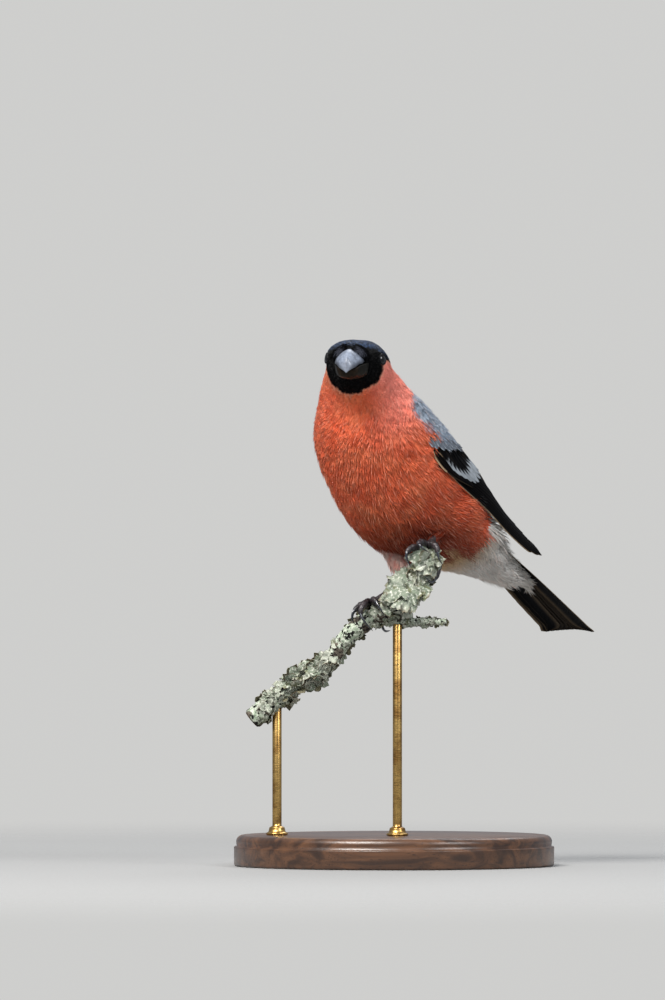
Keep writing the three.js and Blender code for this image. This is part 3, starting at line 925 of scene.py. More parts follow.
def eye_place(side: Side) -> tuple[Array, Array]:
    """The middle of an eyeball and the direction it looks out in, a little ahead.

    Args:
        side: Which eye.
    Returns:
        The middle and the direction.
    """
    rise, sink = EYES[side]
    angle, turn = side.angle(rise), math.radians(EYE_TURN)
    aside = unit(SPINE.place(EYE_ALONG, angle, 1, 1, 1) - SPINE.centre(EYE_ALONG))
    ahead = -axes(SPINE.pitch(EYE_ALONG), SPINE.heading(EYE_ALONG))[0]
    skin = SPINE.skin(EYE_ALONG, angle, fullness(EYE_ALONG, rise, side.value))
    return skin - aside * sink, unit(aside * math.cos(turn) + ahead * math.sin(turn))


def coat_length(s: Array, e: Array) -> Array:
    """Length of the tufts in millimetres.

    Args:
        s: Distance along the spine in millimetres.
        e: Elevation round the body in degrees.
    Returns:
        Lengths.
    """
    under = np.interp(s, (0, 4, 9, 16, 26, 40, 60, 85, 106), (1.0, 1.3, 2.0, 3.4, 4.8, 5.8, 6.4, 6.8, 7.0))
    over = np.interp(s, (0, 4, 9, 16, 26, 40, 60, 85, 106), (0.9, 1.1, 1.4, 2.1, 3.5, 4.8, 5.2, 6.0, 6.2))
    fluffy = 4.0 * smooth(s, 72, 82) * smooth(s, 104, 96) * smooth(e, -12, 8) * smooth(e, 66, 50)
    return under + (over - under) * smooth(e, -10, 40) + fluffy


def round_eyes(points: Array, s: Array, left: Array) -> Array:
    """Where the skin stays bare round the eyes, a little further in front of them.

    Args:
        points: Points of the skin.
        s: Distance along the spine in millimetres.
        left: 1 on the bird's left and -1 on its right.
    Returns:
        True where it is bare.
    """
    bare = np.zeros(s.shape, bool)
    ahead = -axes(SPINE.pitch(EYE_ALONG), SPINE.heading(EYE_ALONG))[0]
    for side in Side:
        centre, out = eye_place(side)
        away = points - centre
        away -= out * (away @ out)[..., None]
        reach = np.linalg.norm(away, axis=-1)
        limit = 1.72 + 0.7 * np.clip(unit(away) @ ahead, 0, 1) ** 2
        bare |= (reach < limit) & (s < 14) & (np.sign(left) == side.value)
    return bare


COAT_RISE, COAT_DEPTH = 0.14, 0.24
VARIANTS = 4
BARE_SKIN = {"along": 1.0, "tuft": 0.5, "barb": 0.4}

WING_ROWS = (
    (39, 21.8, 14.4, 22, 40), (43, 23.0, 16.2, 6, 56), (50, 24.6, 18.7, -4, 68), (58, 25.3, 19.9, -6, 76),
    (66, 25.2, 20.3, 1, 80), (74, 24.6, 20.2, 9, 82), (83, 23.2, 19.2, 16, 82), (95, 20.6, 17.0, 22, 80),
    (106, 18.0, 15.0, 29, 70), (114, 16.2, 14.2, 35, 58), (121, 14.6, 13.8, 41, 49),
)
WING_SHADE = ((46, -3), (53, -7), (56, -4), (59, -1), (63, 2), (69, 8), (80, 14), (90, 18))
WING_COVER = ((42, 14), (44, 9), (47, -1), (53, -2), (56, 1), (60, 6), (66, 8), (73, 6), (80, 0),
              (84, 6), (88, 11), (101, 17))
WING_SWELL = ((38, -0.3), (50, -0.5), (58, -0.5), (64, -0.1), (70, 0.25), (75, 0.65), (80, 0.95), (86, 1.2),
              (92, 1.3), (106, 1.25), (113, 1.1), (121, 1.7))


class WingFrame:
    """Places on a folded wing: along the body, across from the lower edge, and out from its face."""

    def __init__(self, side: Side) -> None:
        """Fits splines to the wing's outline."""
        self.side = side
        self.width, self.height, self.lower, self.upper = columns(WING_ROWS)

    def reach(self, s: Array) -> Array:
        """Width of the blade in millimetres."""
        return np.radians(self.upper(s) - self.lower(s)) * (self.width(s) + self.height(s)) / 2

    def at(self, s: Array, d: Array, out: Array) -> Array:
        """Points of the wing.

        Args:
            s: Distance along the spine in millimetres.
            d: Distance across from the lower edge.
            out: Distance out from the wing's face.
        Returns:
            The points.
        """
        angle = self.lower(s) + np.degrees(2 * d / (self.width(s) + self.height(s)))
        out = out + lookup(s, WING_SWELL) * (1.0 if self.side is Side.LEFT else 0.35)
        wide, high = self.width(s) + out, self.height(s) + out
        return SPINE.place(s, self.side.angle(angle), wide, high, high)


WING_FRAMES = {side: WingFrame(side) for side in Side}

TAIL_TIP, TAIL_PITCH, TAIL_HEADING, TAIL_LENGTH = np.array((58.5, 56.2, 75.6)), 36.5, 46, 58
UPPER_COVERTS = ((62, 8.4, 4.6), (54, 8.0, 4.0), (47, 7.0, 2.6), (41, 5.2, 1.4), (36, 2.6, 0.7))
UNDER_COVERTS = ((60, 9.6, 9.5), (52, 8.8, 8.8), (43, 7.5, 6.5), (34, 6.0, 3.9), (28, 4.2, 1.8),
                 (25.5, 2.2, 0.7))


def tail_at(along: Array, aside: Array, over: Array) -> Array:
    """Points of the tail's roofed plane.

    Args:
        along: Distance from the tail's root.
        aside: Distance to the left.
        over: Distance over the plane.
    Returns:
        The points.
    """
    back, left, up = axes(TAIL_PITCH, TAIL_HEADING)
    share = np.clip(along / TAIL_LENGTH, 0, 1)
    half = 4.5 + 6.5 * np.minimum(1, share * 1.08) ** 0.85
    roof = 1.3 * (1 - (aside / (half + 0.5)) ** 2)
    along, aside, over = np.broadcast_arrays(along - TAIL_LENGTH, aside, over + roof)
    return TAIL_TIP + back * along[..., None] + left * aside[..., None] + up * over[..., None]


@dataclass
class Shell:
    """A stretch of skin: rows and columns of points with the lie of the coat on them.

    Attributes:
        points: Rows by columns by 3, in millimetres.
        s: Distance along the spine of each point.
        e: Elevation of each point round the body in degrees.
        left: 1 on the bird's left and -1 on its right.
        length: Length of the tufts in millimetres.
        closed: Whether the rows are joined round.
        atlas: Its part of the skin's map, from its lower left to its upper right corner.
        marks: Marking values that hold for all of it.
    """

    points: Array
    s: Array
    e: Array
    left: Array
    length: Array
    closed: bool = True
    atlas: Colour = (0, 0, 1, 0.7)
    marks: dict[str, Any] = field(default_factory=dict)

    def lie(self) -> Array:
        """The direction in which the tufts lie, parting round the eyes."""
        flow, up = unit(np.gradient(self.points, axis=0)), grid_normals(self.points, self.closed)
        for side in Side:
            away = self.points - eye_place(side)[0]
            away -= up * (away * up).sum(-1, keepdims=True)
            reach = np.linalg.norm(away, axis=-1, keepdims=True)
            near = np.where(reach < 9, np.exp(-((reach / 3.4) ** 2)), 0) * (self.s[..., None] < 20)
            flow = flow + 0.9 * near * unit(away)
        aside = np.cross(up, flow)
        sway = 0.15 * Ripple(77, 15.0)(self.points) + 0.10 * Ripple(78, 6.0)(self.points)
        climb = 0.36 * np.clip(3 * self.left, -1, 1) * smooth(self.s, 32, 44) * smooth(self.s, 96, 78)
        lean = sway * smooth(self.s, 8, 24) + climb * bell(self.e, -8, 32)
        return unit(flow + aside * lean[..., None])

    def layers(self) -> dict[str, Array]:
        """Everything that the coat reads from the skin, for each vertex."""
        found = markings(self.s, self.e, self.left)
        found.update({key: value + 0 * self.s for key, value in self.marks.items()})
        up = grid_normals(self.points, self.closed)
        found.update(root_up=up, lie=self.lie(), length=self.length * MM)
        return {key: values.reshape(self.s.size, -1) for key, values in found.items()}

    def grid(self) -> tuple[Array, Array]:
        """Outward faces and their corners' UV pairs, in the shell's part of the skin's map."""
        rows, cols = self.s.shape
        faces, uv = grid_faces(rows, cols, self.closed), grid_uv(rows, cols, self.closed)
        u0, v0, u1, v1 = self.atlas
        uv = ((u0, v0) + uv * (u1 - u0, v1 - v0)).reshape(-1, 4, 2)
        flat, up = self.points.reshape(-1, 3), grid_normals(self.points, self.closed).reshape(-1, 3)
        turn = np.cross(flat[faces[:, 1]] - flat[faces[:, 0]], flat[faces[:, 2]] - flat[faces[:, 0]])
        if (turn * up[faces[:, 0]]).sum() < 0:
            faces, uv = faces[:, ::-1], uv[:, ::-1]
        return faces, uv

    def host(self, name: str, grown: Array) -> Object:
        """The shell as a mesh to scatter on, with the share of tufts grown at each vertex.

        Args:
            name: The piece's name.
            grown: Share of the tufts at each point.
        Returns:
            The object.
        """
        faces, uv = self.grid()
        return mesh_object(name, self.points.reshape(-1, 3), faces, uv.reshape(-1, 2),
                           {**self.layers(), "density": np.asarray(grown, float)})

    def shut(self, parts: Parts) -> None:
        """Adds the shell, closed at its ends, to the skin.

        Args:
            parts: The skin's parts.
        """
        rows, cols = self.s.shape
        faces, uv = self.grid()
        quads, first = [tuple(f) for f in faces], (rows - 1) * cols
        points = np.vstack([self.points.reshape(-1, 3), self.points[0].mean(0), self.points[-1].mean(0)])
        n = rows * cols
        fans = [(n, (j + 1) % cols, j) for j in range(cols)]
        fans += [(n + 1, first + j, first + (j + 1) % cols) for j in range(cols)]
        kept = tuple(faces[0]) == tuple(grid_faces(2, cols)[0])
        quads += fans if kept else [f[::-1] for f in fans]
        ends = np.repeat([uv[0].mean(0), uv[-1].mean(0)], 3 * cols, axis=0)
        layers = {key: np.vstack([v, v[:cols].mean(0), v[-cols:].mean(0)])
                  for key, v in self.layers().items()}
        parts.add(points, quads, np.vstack([uv.reshape(-1, 2), ends]), **BARE_SKIN, **layers)


def body_shell(rows: int = 130, cols: int = 112, end: float = 118.0) -> Shell:
    """The bird's body under its coat.

    Args:
        rows: Rows along it.
        cols: Points round it.
        end: Where it ends.
    Returns:
        The shell.
    """
    s, a = crossed(np.linspace(0.2, end, rows), np.linspace(0, 360, cols, endpoint=False))
    side = np.cos(np.radians(a))
    e = np.degrees(np.arctan2(np.sin(np.radians(a)), np.abs(side)))
    length = coat_length(s, e)
    points = SPINE.skin(s, a, fullness(s, e, side) - COAT_DEPTH * length - 0.1 + 0.35 * smooth(s, 12, 24))
    return Shell(points, s, e, side, length)


def covert_shell(table: Sequence[Sequence[float]], up: int, atlas: Numbers) -> Shell:
    """The skin under the coverts over (up 1) or under (up -1) the tail.

    Args:
        table: Distance before the tail's tip, half width and depth.
        up: Which face of the tail.
        atlas: Its part of the skin's map.
    Returns:
        The shell.
    """
    half, depth = columns([(-before, a, b) for before, a, b in table])
    x, a = crossed(np.linspace(-table[0][0], -table[-1][0], 34), turns(48))
    rise = np.maximum(np.sin(a), 0)
    wide = np.maximum(half(x) - 1.2, 0.5) * np.cos(a)
    over = up * (np.maximum(depth(x) - 1.3, 0.15) * rise + 0.3)
    back, left, upward = axes(TAIL_PITCH, TAIL_HEADING)
    points = TAIL_TIP + back * x[..., None] + left * wide[..., None] + upward * over[..., None]
    s, e = 100 + 0 * x, (-60.0 if up < 0 else 60.0) + 0 * x
    # The upper coverts take a share of the crown's painted blue sheen.
    marks = {"white_in": 9.0 if up < 0 else -20.0, "cap_in": -6.0 if up < 0 else 4.0, "grey_in": -40.0,
             "crown": 0.25 if up > 0 else 0.0, "rosy": 0.0, "dusk": 0.0, "buff": 0.15}
    return Shell(points, s, e, np.cos(a), (5.4 if up < 0 else 4.0) + 0 * x, atlas=atlas, marks=marks)


THIGHS = {
    Side.LEFT: ((17.4, -3, 111.6), (13.0, -9.0, 106.6), 4.2, 2.1),
    Side.RIGHT: ((-0.9, 5.2, 105), (2.9, 0.4, 92.8), 4.4, 1.8),
}


def thigh_shell(side: Side, atlas: Numbers) -> Shell:
    """The skin under a thigh's plumage.

    Args:
        side: Which thigh.
        atlas: Its part of the skin's map.
    Returns:
        The shell.
    """
    start, end, first, last = THIGHS[side]
    share = np.linspace(-0.25, 1.02, 22)
    radius = np.interp(share, (-0.25, 0, 0.6, 1.02), (first, first, (first + last) / 2, last * 0.72)) - 0.5
    path = [np.array(start) + (np.array(end) - start) * t for t in (-0.25, 0.3, 1.02)]
    points = swept(Curve(path), np.linspace(0, 1, 22), radius, 32)
    a = np.broadcast_to(turns(32), points.shape[:2])
    flat = np.zeros(points.shape[:2])
    near = side is Side.LEFT
    # The near thigh takes full painted shade, under the belly.
    marks = {"white_in": -9.0 if near else 1.2, "cap_in": -9.0, "grey_in": -40.0, "crown": 0.0,
             "rosy": 0.1 if near else 0.9, "dusk": 1.0 if near else 0.0, "buff": 0.1}
    return Shell(points, 70 + flat, -30 + flat, np.cos(a), 3.6 + flat, atlas=atlas, marks=marks)


def shoulder_shell(side: Side) -> Shell:
    """The skin of a folded wing's bend, which grows the small coverts.

    Args:
        side: Which wing.
    Returns:
        The shell.
    """
    blade = WING_FRAMES[side]
    s, v = crossed(np.linspace(38.6, 74, 56), np.linspace(0, 1, 50))
    if side is Side.RIGHT:
        v = v[:, ::-1]
    points = blade.at(s, v * blade.reach(s), -1.1 + 0 * s)
    e = blade.lower(s) + (blade.upper(s) - blade.lower(s)) * v
    length = 3.0 + 1.2 * smooth(s, 46, 66)
    marks = {"rosy": 0.1, "dusk": 0.0, "crown": 0.0, "white_in": -30.0}
    return Shell(points, s, e, side.value + 0 * s, length, closed=False, atlas=(0, 0, 1, 1), marks=marks)


COVERT_LINE = ((-1, 47.2), (3.9, 49.8), (7.2, 52.5), (12.5, 53.9), (16.8, 57.5), (26, 61), (34, 62))


def shoulder_growth(shell: Shell, side: Side) -> Array:
    """Small coverts in front of the great ones, and scapulars along the back.

    Args:
        shell: The skin of the bend.
        side: Which wing.
    Returns:
        Share of the tufts at each point.
    """
    blade = WING_FRAMES[side]
    v = (shell.e - blade.lower(shell.s)) / (blade.upper(shell.s) - blade.lower(shell.s))
    d = v * blade.reach(shell.s)
    line = lookup(d, COVERT_LINE)
    scapular = (v > 0.80) & (shell.s < 57 + 14 * v)
    return (((shell.s < line - 0.5) & (shell.e > lookup(shell.s, GREY_FROM) + 1)) | scapular).astype(float)


def nasal_shell() -> Shell:
    """The front of the face, its rows running forward so that the tufts point over the bill."""
    s, a = crossed(np.linspace(2.6, 0.2, 14), np.linspace(0, 360, 96, endpoint=False))
    e = np.degrees(np.arctan2(np.sin(np.radians(a)), np.abs(np.cos(np.radians(a)))))
    left = np.cos(np.radians(a))
    points = SPINE.skin(s, a, fullness(s, e, left) - 0.35)
    return Shell(points, s, e, left, 1.5 + 1.7 * bell(e, 42, 22), atlas=(0, 0, 0.02, 0.7),
                 marks={"nasal": bell(e, 42, 15) * smooth(s, 2.5, 1.5), "crown": 0.0})


def nasal_growth(shell: Shell) -> Array:
    """Two bushes of plumes beside the ridge of the bill, and a thin fringe round its base."""
    bushes = smooth(np.abs(shell.e - 48), 44, 26)
    return np.maximum(bushes, 0.3) * (shell.e > -40)


class Bristle(Enum):
    """Kinds of tuft: barbs, spread in degrees, relative width, and how far they curl."""

    BODY = (7, 19.0, 0.054, 0.09)
    FACE = (4, 22.0, 0.115, 0.08)
    DOWN = (7, 26.0, 0.050, 0.16)


@dataclass
class TuftMaker:
    """Makes the few tufts that the coat repeats, one millimetre long, lying along Y."""

    kind: Bristle
    rings: int = 3

    def barb(self, rng: np.random.Generator, share: float, parts: Parts) -> None:
        """Adds one thin closed barb.

        Args:
            rng: The tufts' random numbers.
            share: Its place in the fan, from -1 to 1.
            parts: The tuft's parts.
        """
        _, spread, width, curl = self.kind.value
        turn = math.radians(spread * share + rng.normal(0, 3.0))
        length = (1 - 0.16 * share * share) * rng.uniform(0.82, 1.04)
        lift = rng.uniform(-0.015, 0.045)
        t = np.linspace(0, 1, self.rings + 1)[:, None]
        along = np.hstack([np.sin(turn) * t ** 1.25 * length + share * 0.05, np.cos(turn) * t * length,
                           curl * np.sin(t * 2.4) * 0.6 + lift * t - 0.02])
        thick = width * rng.uniform(0.8, 1.2) * np.interp(t[:-1, 0], (0, 0.35, 0.75), (0.55, 1.0, 0.7))
        rings = []
        for centre, half in zip(along[:-1], thick / 2):
            rings.append(centre + np.array([(-half, 0, 0), (0, 0, half * 0.7), (half, 0, 0)]))
        points = np.vstack([*rings, along[-1:]])
        tip = len(points) - 1
        faces = [tuple(f) for f in grid_faces(self.rings, 3)] + [(2, 1, 0)]
        faces += [(tip - 3 + j, tip - 3 + (j + 1) % 3, tip) for j in range(3)]
        steps = np.append(np.repeat(t[:-1, 0], 3), 1.0)
        patch = np.stack([0.5 + 0.5 * share + 0 * steps, steps, 0 * steps], -1)
        faces = outward(points, faces)
        parts.add(points, faces, patch[:, :2][np.concatenate(faces)], along=steps,
                  barb=np.full(len(points), rng.random()), patch=patch)

    def collection(self) -> Collection:
        """The tufts in a collection of their own, outside the scene."""
        rng = np.random.default_rng(7)
        made = bpy.data.collections.new("tufts_" + self.kind.name.lower())
        for number in range(VARIANTS):
            parts = Parts()
            for share in np.linspace(-1, 1, self.kind.value[0]):
                self.barb(rng, float(share), parts)
            shelve(parts.build(f"{made.name}_{number}"), made)
        return made


class Scatter:
    """The Geometry Nodes tree that sets tufts on skin, each along the lie of the coat."""

    def __init__(self) -> None:
        """Makes the tree with its inputs and its output."""
        tree = bpy.data.node_groups.new("Scatter", "GeometryNodeTree")
        kinds = {"Skin": "Geometry", "Tufts": "Collection", "Spacing": "Float", "Lift": "Float",
                 "Stray": "Float", "Widen": "Float", "Patch": "Float", "Seed": "Int", "Finish": "Material"}
        for key, kind in kinds.items():
            tree.interface.new_socket(key, in_out="INPUT", socket_type="NodeSocket" + kind)
        tree.interface.new_socket("Coat", in_out="OUTPUT", socket_type="NodeSocketGeometry")
        self.tree = tree
        self.wire(Wiring(tree), tree.nodes.new("NodeGroupInput").outputs, tree.nodes.new("NodeGroupOutput"))

    @staticmethod
    def named(w: Wiring, name: str, kind: str = "FLOAT") -> Socket:
        """An attribute's value."""
        return w.node("GeometryNodeInputNamedAttribute", {"Name": name}, data_type=kind).outputs[0]

    @staticmethod
    def chance(w: Wiring, low: float, high: float, seed: Socket, shift: int, kind: str = "FLOAT") -> Socket:
        """A random number for each tuft, a whole one where the kind is INT.

        Args:
            w: The tree's wiring.
            low: The least.
            high: The most.
            seed: The scatter's seed.
            shift: What is added to it.
            kind: FLOAT or INT.
        Returns:
            The number.
        """
        node, output = w.node("FunctionNodeRandomValue", data_type=kind), 1 if kind == "FLOAT" else 2
        limits = {f"Min_00{output}": low, f"Max_00{output}": high}
        for socket in node.inputs:
            if socket.identifier in limits:
                socket.default_value = limits[socket.identifier]
        w.tree.links.new(w.plus(seed, float(shift)), node.inputs["Seed"])
        return node.outputs[output]

    def wire(self, w: Wiring, given: Any, leave: bpy.types.Node) -> None:
        """Scatters points, turns and sizes a tuft on each, and gives it its bake patch.

        Args:
            w: The tree's wiring.
            given: Its inputs.
            leave: Its output node.
        """
        spacing, seed = given["Spacing"], given["Seed"]
        density = w.math("DIVIDE", 2.2, w.times(spacing, spacing))
        spots = w.node("GeometryNodeDistributePointsOnFaces", {
            "Mesh": given["Skin"], "Distance Min": spacing, "Density Max": density,
            "Density Factor": self.named(w, "density"), "Seed": seed}, distribute_method="POISSON")
        kept = w.node("GeometryNodeStoreNamedAttribute", {
            "Geometry": spots.outputs["Points"], "Name": "tuft", "Value": self.chance(w, 0, 1, seed, 1)},
            data_type="FLOAT", domain="POINT")
        up, lie = self.named(w, "root_up", "FLOAT_VECTOR"), self.named(w, "lie", "FLOAT_VECTOR")
        aside = w.vector("CROSS_PRODUCT", up, lie)
        raised = w.vector("SCALE", up, scale=w.times(given["Lift"], self.chance(w, 0.6, 1.35, seed, 2)))
        turned = w.vector("SCALE", aside, scale=w.times(given["Stray"], self.chance(w, -1, 1, seed, 3)))
        along = w.vector("ADD", w.vector("ADD", lie, raised), turned)
        turn = w.node("FunctionNodeAxesToRotation", {"Primary Axis": along, "Secondary Axis": up},
                      primary_axis="Y", secondary_axis="Z").outputs[0]
        size = w.times(self.named(w, "length"), self.chance(w, 0.8, 1.15, seed, 4))
        size = w.math("DIVIDE", size, MM)
        wide = w.times(size, given["Widen"])
        scale = w.node("ShaderNodeCombineXYZ", {0: wide, 1: size, 2: size}).outputs[0]
        tufts = w.node("GeometryNodeCollectionInfo", {
            "Collection": given["Tufts"], "Separate Children": True, "Reset Children": True})
        pick = self.chance(w, 0, VARIANTS - 1, seed, 5, "INT")
        placed = w.node("GeometryNodeInstanceOnPoints", {
            "Points": kept.outputs[0], "Instance": tufts.outputs[0], "Pick Instance": True,
            "Instance Index": pick, "Rotation": turn, "Scale": scale})
        real = w.node("GeometryNodeRealizeInstances", {"Geometry": placed.outputs[0]})
        spot = w.vector("ADD", self.named(w, "OFBake", "FLOAT_VECTOR"),
                        w.vector("SCALE", self.named(w, "patch", "FLOAT_VECTOR"), scale=given["Patch"]))
        inputs = {"Geometry": real.outputs[0], "Name": "OFBake", "Value": spot}
        mapped = w.node("GeometryNodeStoreNamedAttribute", inputs, data_type="FLOAT2", domain="CORNER")
        inputs = {"Geometry": mapped.outputs[0], "Material": given["Finish"]}
        done = w.node("GeometryNodeSetMaterial", inputs)
        w.tree.links.new(done.outputs[0], leave.inputs[0])

    def run(self, piece: Object, **settings: Any) -> Object:
        """Puts the coat on a piece of skin, and leaves only the coat as a plain mesh.

        Args:
            piece: The skin.
            **settings: Inputs of the tree, by name.
        Returns:
            The same object.
        """
        modifier = piece.modifiers.new("coat", "NODES")
        modifier.node_group = self.tree
        settings = {"Patch": 0.003, "Widen": 1.0, "Lift": COAT_RISE, "Stray": 0.16, **settings}
        for item in self.tree.interface.items_tree:
            if item.in_out == "INPUT" and item.name in settings:
                modifier[item.identifier] = settings[item.name]
        return settle(piece)


def settle(piece: Object) -> Object:
    """Makes a piece's evaluated form its plain mesh.

    Args:
        piece: The object with its modifier.
    Returns:
        The same object.
    """
    graph = bpy.context.evaluated_depsgraph_get()
    mesh = bpy.data.meshes.new_from_object(piece.evaluated_get(graph), preserve_all_data_layers=True,
                                           depsgraph=graph)
    piece.modifiers.clear()
    piece.data = mesh
    mesh.shade_smooth()
    for spent in ("density", "lie", "length", "patch"):
        if spent in mesh.attributes:
            mesh.attributes.remove(mesh.attributes[spent])
    return piece


def place(piece: Object, slot: str, *replaced: str) -> Object:
    """Rides a piece on the body, and hides the nodes it stands for.

    Args:
        piece: The piece.
        slot: Not used.
        *replaced: The nodes it stands for.
    Returns:
        The same piece.
    """
    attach(piece, "root")
    if replaced:
        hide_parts(*replaced)
    LOG.info("%s: %d faces", piece.name, len(piece.data.polygons))
    return piece


@dataclass(frozen=True)
class Tract:
    """A field of the body's coat.

    Attributes:
        name: The piece's name.
        kind: Its tuft.
        spacing: Distance between tufts in millimetres.
        slot: The slot of its finish.
        where: Where it grows, from s, e and left.
        finish: Which plumage it wears.
        side: The side it is kept to, or None for both.
    """

    name: str
    kind: Bristle
    spacing: float
    slot: str
    where: Callable[[Array, Array, Array], Array]
    finish: str = "soft"
    side: Side | None = None

    def grown(self, skin: Shell) -> Array:
        """Where it grows on the body, on one side or on both."""
        where = self.where(skin.s, skin.e, skin.left)
        return where if self.side is None else where & ((skin.left > 0) == (self.side is Side.LEFT))


def both(name: str, spacing: float, where: Callable[[Array, Array, Array], Array]) -> list[Tract]:
    """A red field as a tract for each side."""
    plain = Bristle.BODY, spacing, "breast", where
    return [Tract(f"{name}_{side.word}", *plain, side=side) for side in Side]


TRACTS = (
    Tract("coat_face", Bristle.FACE, 0.50, "cap",
          lambda s, e, left: (s < cap_edge(e, left)) & (e < 20), "matt"),
    Tract("coat_crown", Bristle.FACE, 0.52, "cap",
          lambda s, e, left: (s < cap_edge(e, left)) & (e >= 20), "gloss"),
    *both("coat_cheek", 0.92, lambda s, e, left: (s >= cap_edge(e, left)) & (s < 38) & (e < 30)),
    *both("coat_breast", 1.12, lambda s, e, left: (s >= 38) & (s < 64) & (e < 20)),
    *both("coat_belly", 1.2, lambda s, e, left: (s >= 64) & (e < 25)),
    Tract("coat_mantle", Bristle.BODY, 1.05, "cap",
          lambda s, e, left: (s >= cap_edge(e, left)) & (s < 64) & (e >= np.where(s < 38, 30, 20))),
    Tract("coat_rump", Bristle.DOWN, 1.35, "white_down", lambda s, e, left: (s >= 64) & (e >= 25)),
)


class Plumage:
    """The skin and the coat over it."""

    def __init__(self, scatter: Scatter) -> None:
        """Makes the finishes, the tufts and the skin's shells.

        Args:
            scatter: The tree that sets the tufts.
        """
        self.scatter = scatter
        self.body = body_shell()
        looks = {
            "skin": PlumageFinish("skin_plumage"), "soft": PlumageFinish("soft_plumage"),
            "matt": PlumageFinish("face_plumage", roughness=0.9, specular=0.06, sheen=0.0),
            "gloss": PlumageFinish("crown_plumage", roughness=0.55, specular=0.2, sheen=0.0, rooted=0.25),
        }
        self.finishes = {key: look.material() for key, look in looks.items()}
        self.tufts = {kind: TuftMaker(kind).collection() for kind in Bristle}
        self.extras = {
            "under_coverts": covert_shell(UNDER_COVERTS, -1, (0, 0.72, 0.24, 1)),
            "upper_coverts": covert_shell(UPPER_COVERTS, 1, (0.25, 0.72, 0.49, 1)),
            "thigh_left": thigh_shell(Side.LEFT, (0.5, 0.72, 0.74, 1)),
            "thigh_right": thigh_shell(Side.RIGHT, (0.75, 0.72, 0.99, 1)),
        }

    def build_skin(self) -> None:
        """One skin for the head, neck, trunk, rump, tail coverts and thighs."""
        parts = Parts()
        for shell in (self.body, *self.extras.values()):
            shell.shut(parts)
        place(parts.build("skin", self.finishes["skin"]), "breast", "head", "neck", "trunk", "rump",
              "tail_coverts_upper", "tail_coverts_under", "thigh_left", "thigh_right")

    def grow(self, name: str, shell: Shell, grown: Array, kind: Bristle, slot: str, seed: int,
             finish: str = "soft", **settings: Any) -> None:
        """Grows one tract.

        Args:
            name: The piece's name.
            shell: The skin under it.
            grown: Share of the tufts that grow at each point of the shell.
            kind: Its tuft.
            slot: The slot of its finish.
            seed: Seed of its scatter.
            finish: Which plumage it wears.
            **settings: Inputs of the scatter, by name.
        """
        piece = shell.host(name, grown)
        self.scatter.run(piece, Tufts=self.tufts[kind], Seed=seed, Finish=self.finishes[finish], **settings)
        place(piece, slot)

    def under_wing(self) -> Array:
        """The points of the body that a folded wing hides."""
        s, e, blade = self.body.s, self.body.e, WING_FRAMES[Side.LEFT]
        return (e > blade.lower(s) + lookup(s, WING_COVER)) & (e < blade.upper(s) - 8) & (s > 42) & (s < 101)

    def build_body(self) -> None:
        """Every tract of the coat on the body."""
        body, hidden = self.body, self.under_wing()
        for number, tract in enumerate(TRACTS):
            grown = (tract.grown(body) & ~hidden).astype(float)
            grown[round_eyes(body.points, body.s, body.left)] = 0
            self.grow(tract.name, body, grown, tract.kind, tract.slot, 11 + 10 * number, tract.finish,
                      Spacing=tract.spacing * MM)

    def build_rest(self) -> None:
        """The coat of the coverts, the thighs, the wings' bend and the bill's base."""
        for number, (name, shell) in enumerate(self.extras.items()):
            kind = Bristle.DOWN if name == "under_coverts" else Bristle.BODY
            slot = {"under_coverts": "white_down", "upper_coverts": "flight"}.get(name, "breast")
            self.grow("coat_" + name, shell, np.ones(shell.s.shape), kind, slot, 201 + number,
                      "gloss" if name == "upper_coverts" else "soft", Spacing=1.1 * MM)
        for side in Side:
            shell = shoulder_shell(side)
            grown = shoulder_growth(shell, side)
            self.grow(f"coat_shoulder_{side.word}", shell, grown, Bristle.BODY, "cap", 301 + side.value,
                      Spacing=0.95 * MM, Lift=0.2, Stray=0.1)
        front = nasal_shell()
        self.grow("coat_bill_base", front, nasal_growth(front), Bristle.FACE, "cap", 401, "matt",
                  Spacing=0.42 * MM, Lift=0.42, Stray=0.35)

    def build(self) -> None:
        """Skin first, then coat."""
        self.build_skin()
        self.build_body()
        self.build_rest()


# flight feathers
@dataclass(frozen=True)
class Feather:
    """One vaned feather, in millimetres along, across and out.

    Attributes:
        root: Where its shaft starts.
        tip: Where its shaft ends.
        half: Half its width.
        outer: Width of the outer vane over that half.
        point: Share of its length over which it narrows to its tip.
        blunt: How bluntly it does so.
        hook: How far its tip turns inward.
        bow: How far its middle bends inward.
        pale: Length of its pale tip.
        rim: Strength of its paler edges.
    """

    root: Triple
    tip: Triple
    half: float
    outer: float = 0.55
    point: float = 0.30
    blunt: float = 2.3
    hook: float = 0.0
    bow: float = 0.0
    pale: float = 0.0
    rim: float = 0.0


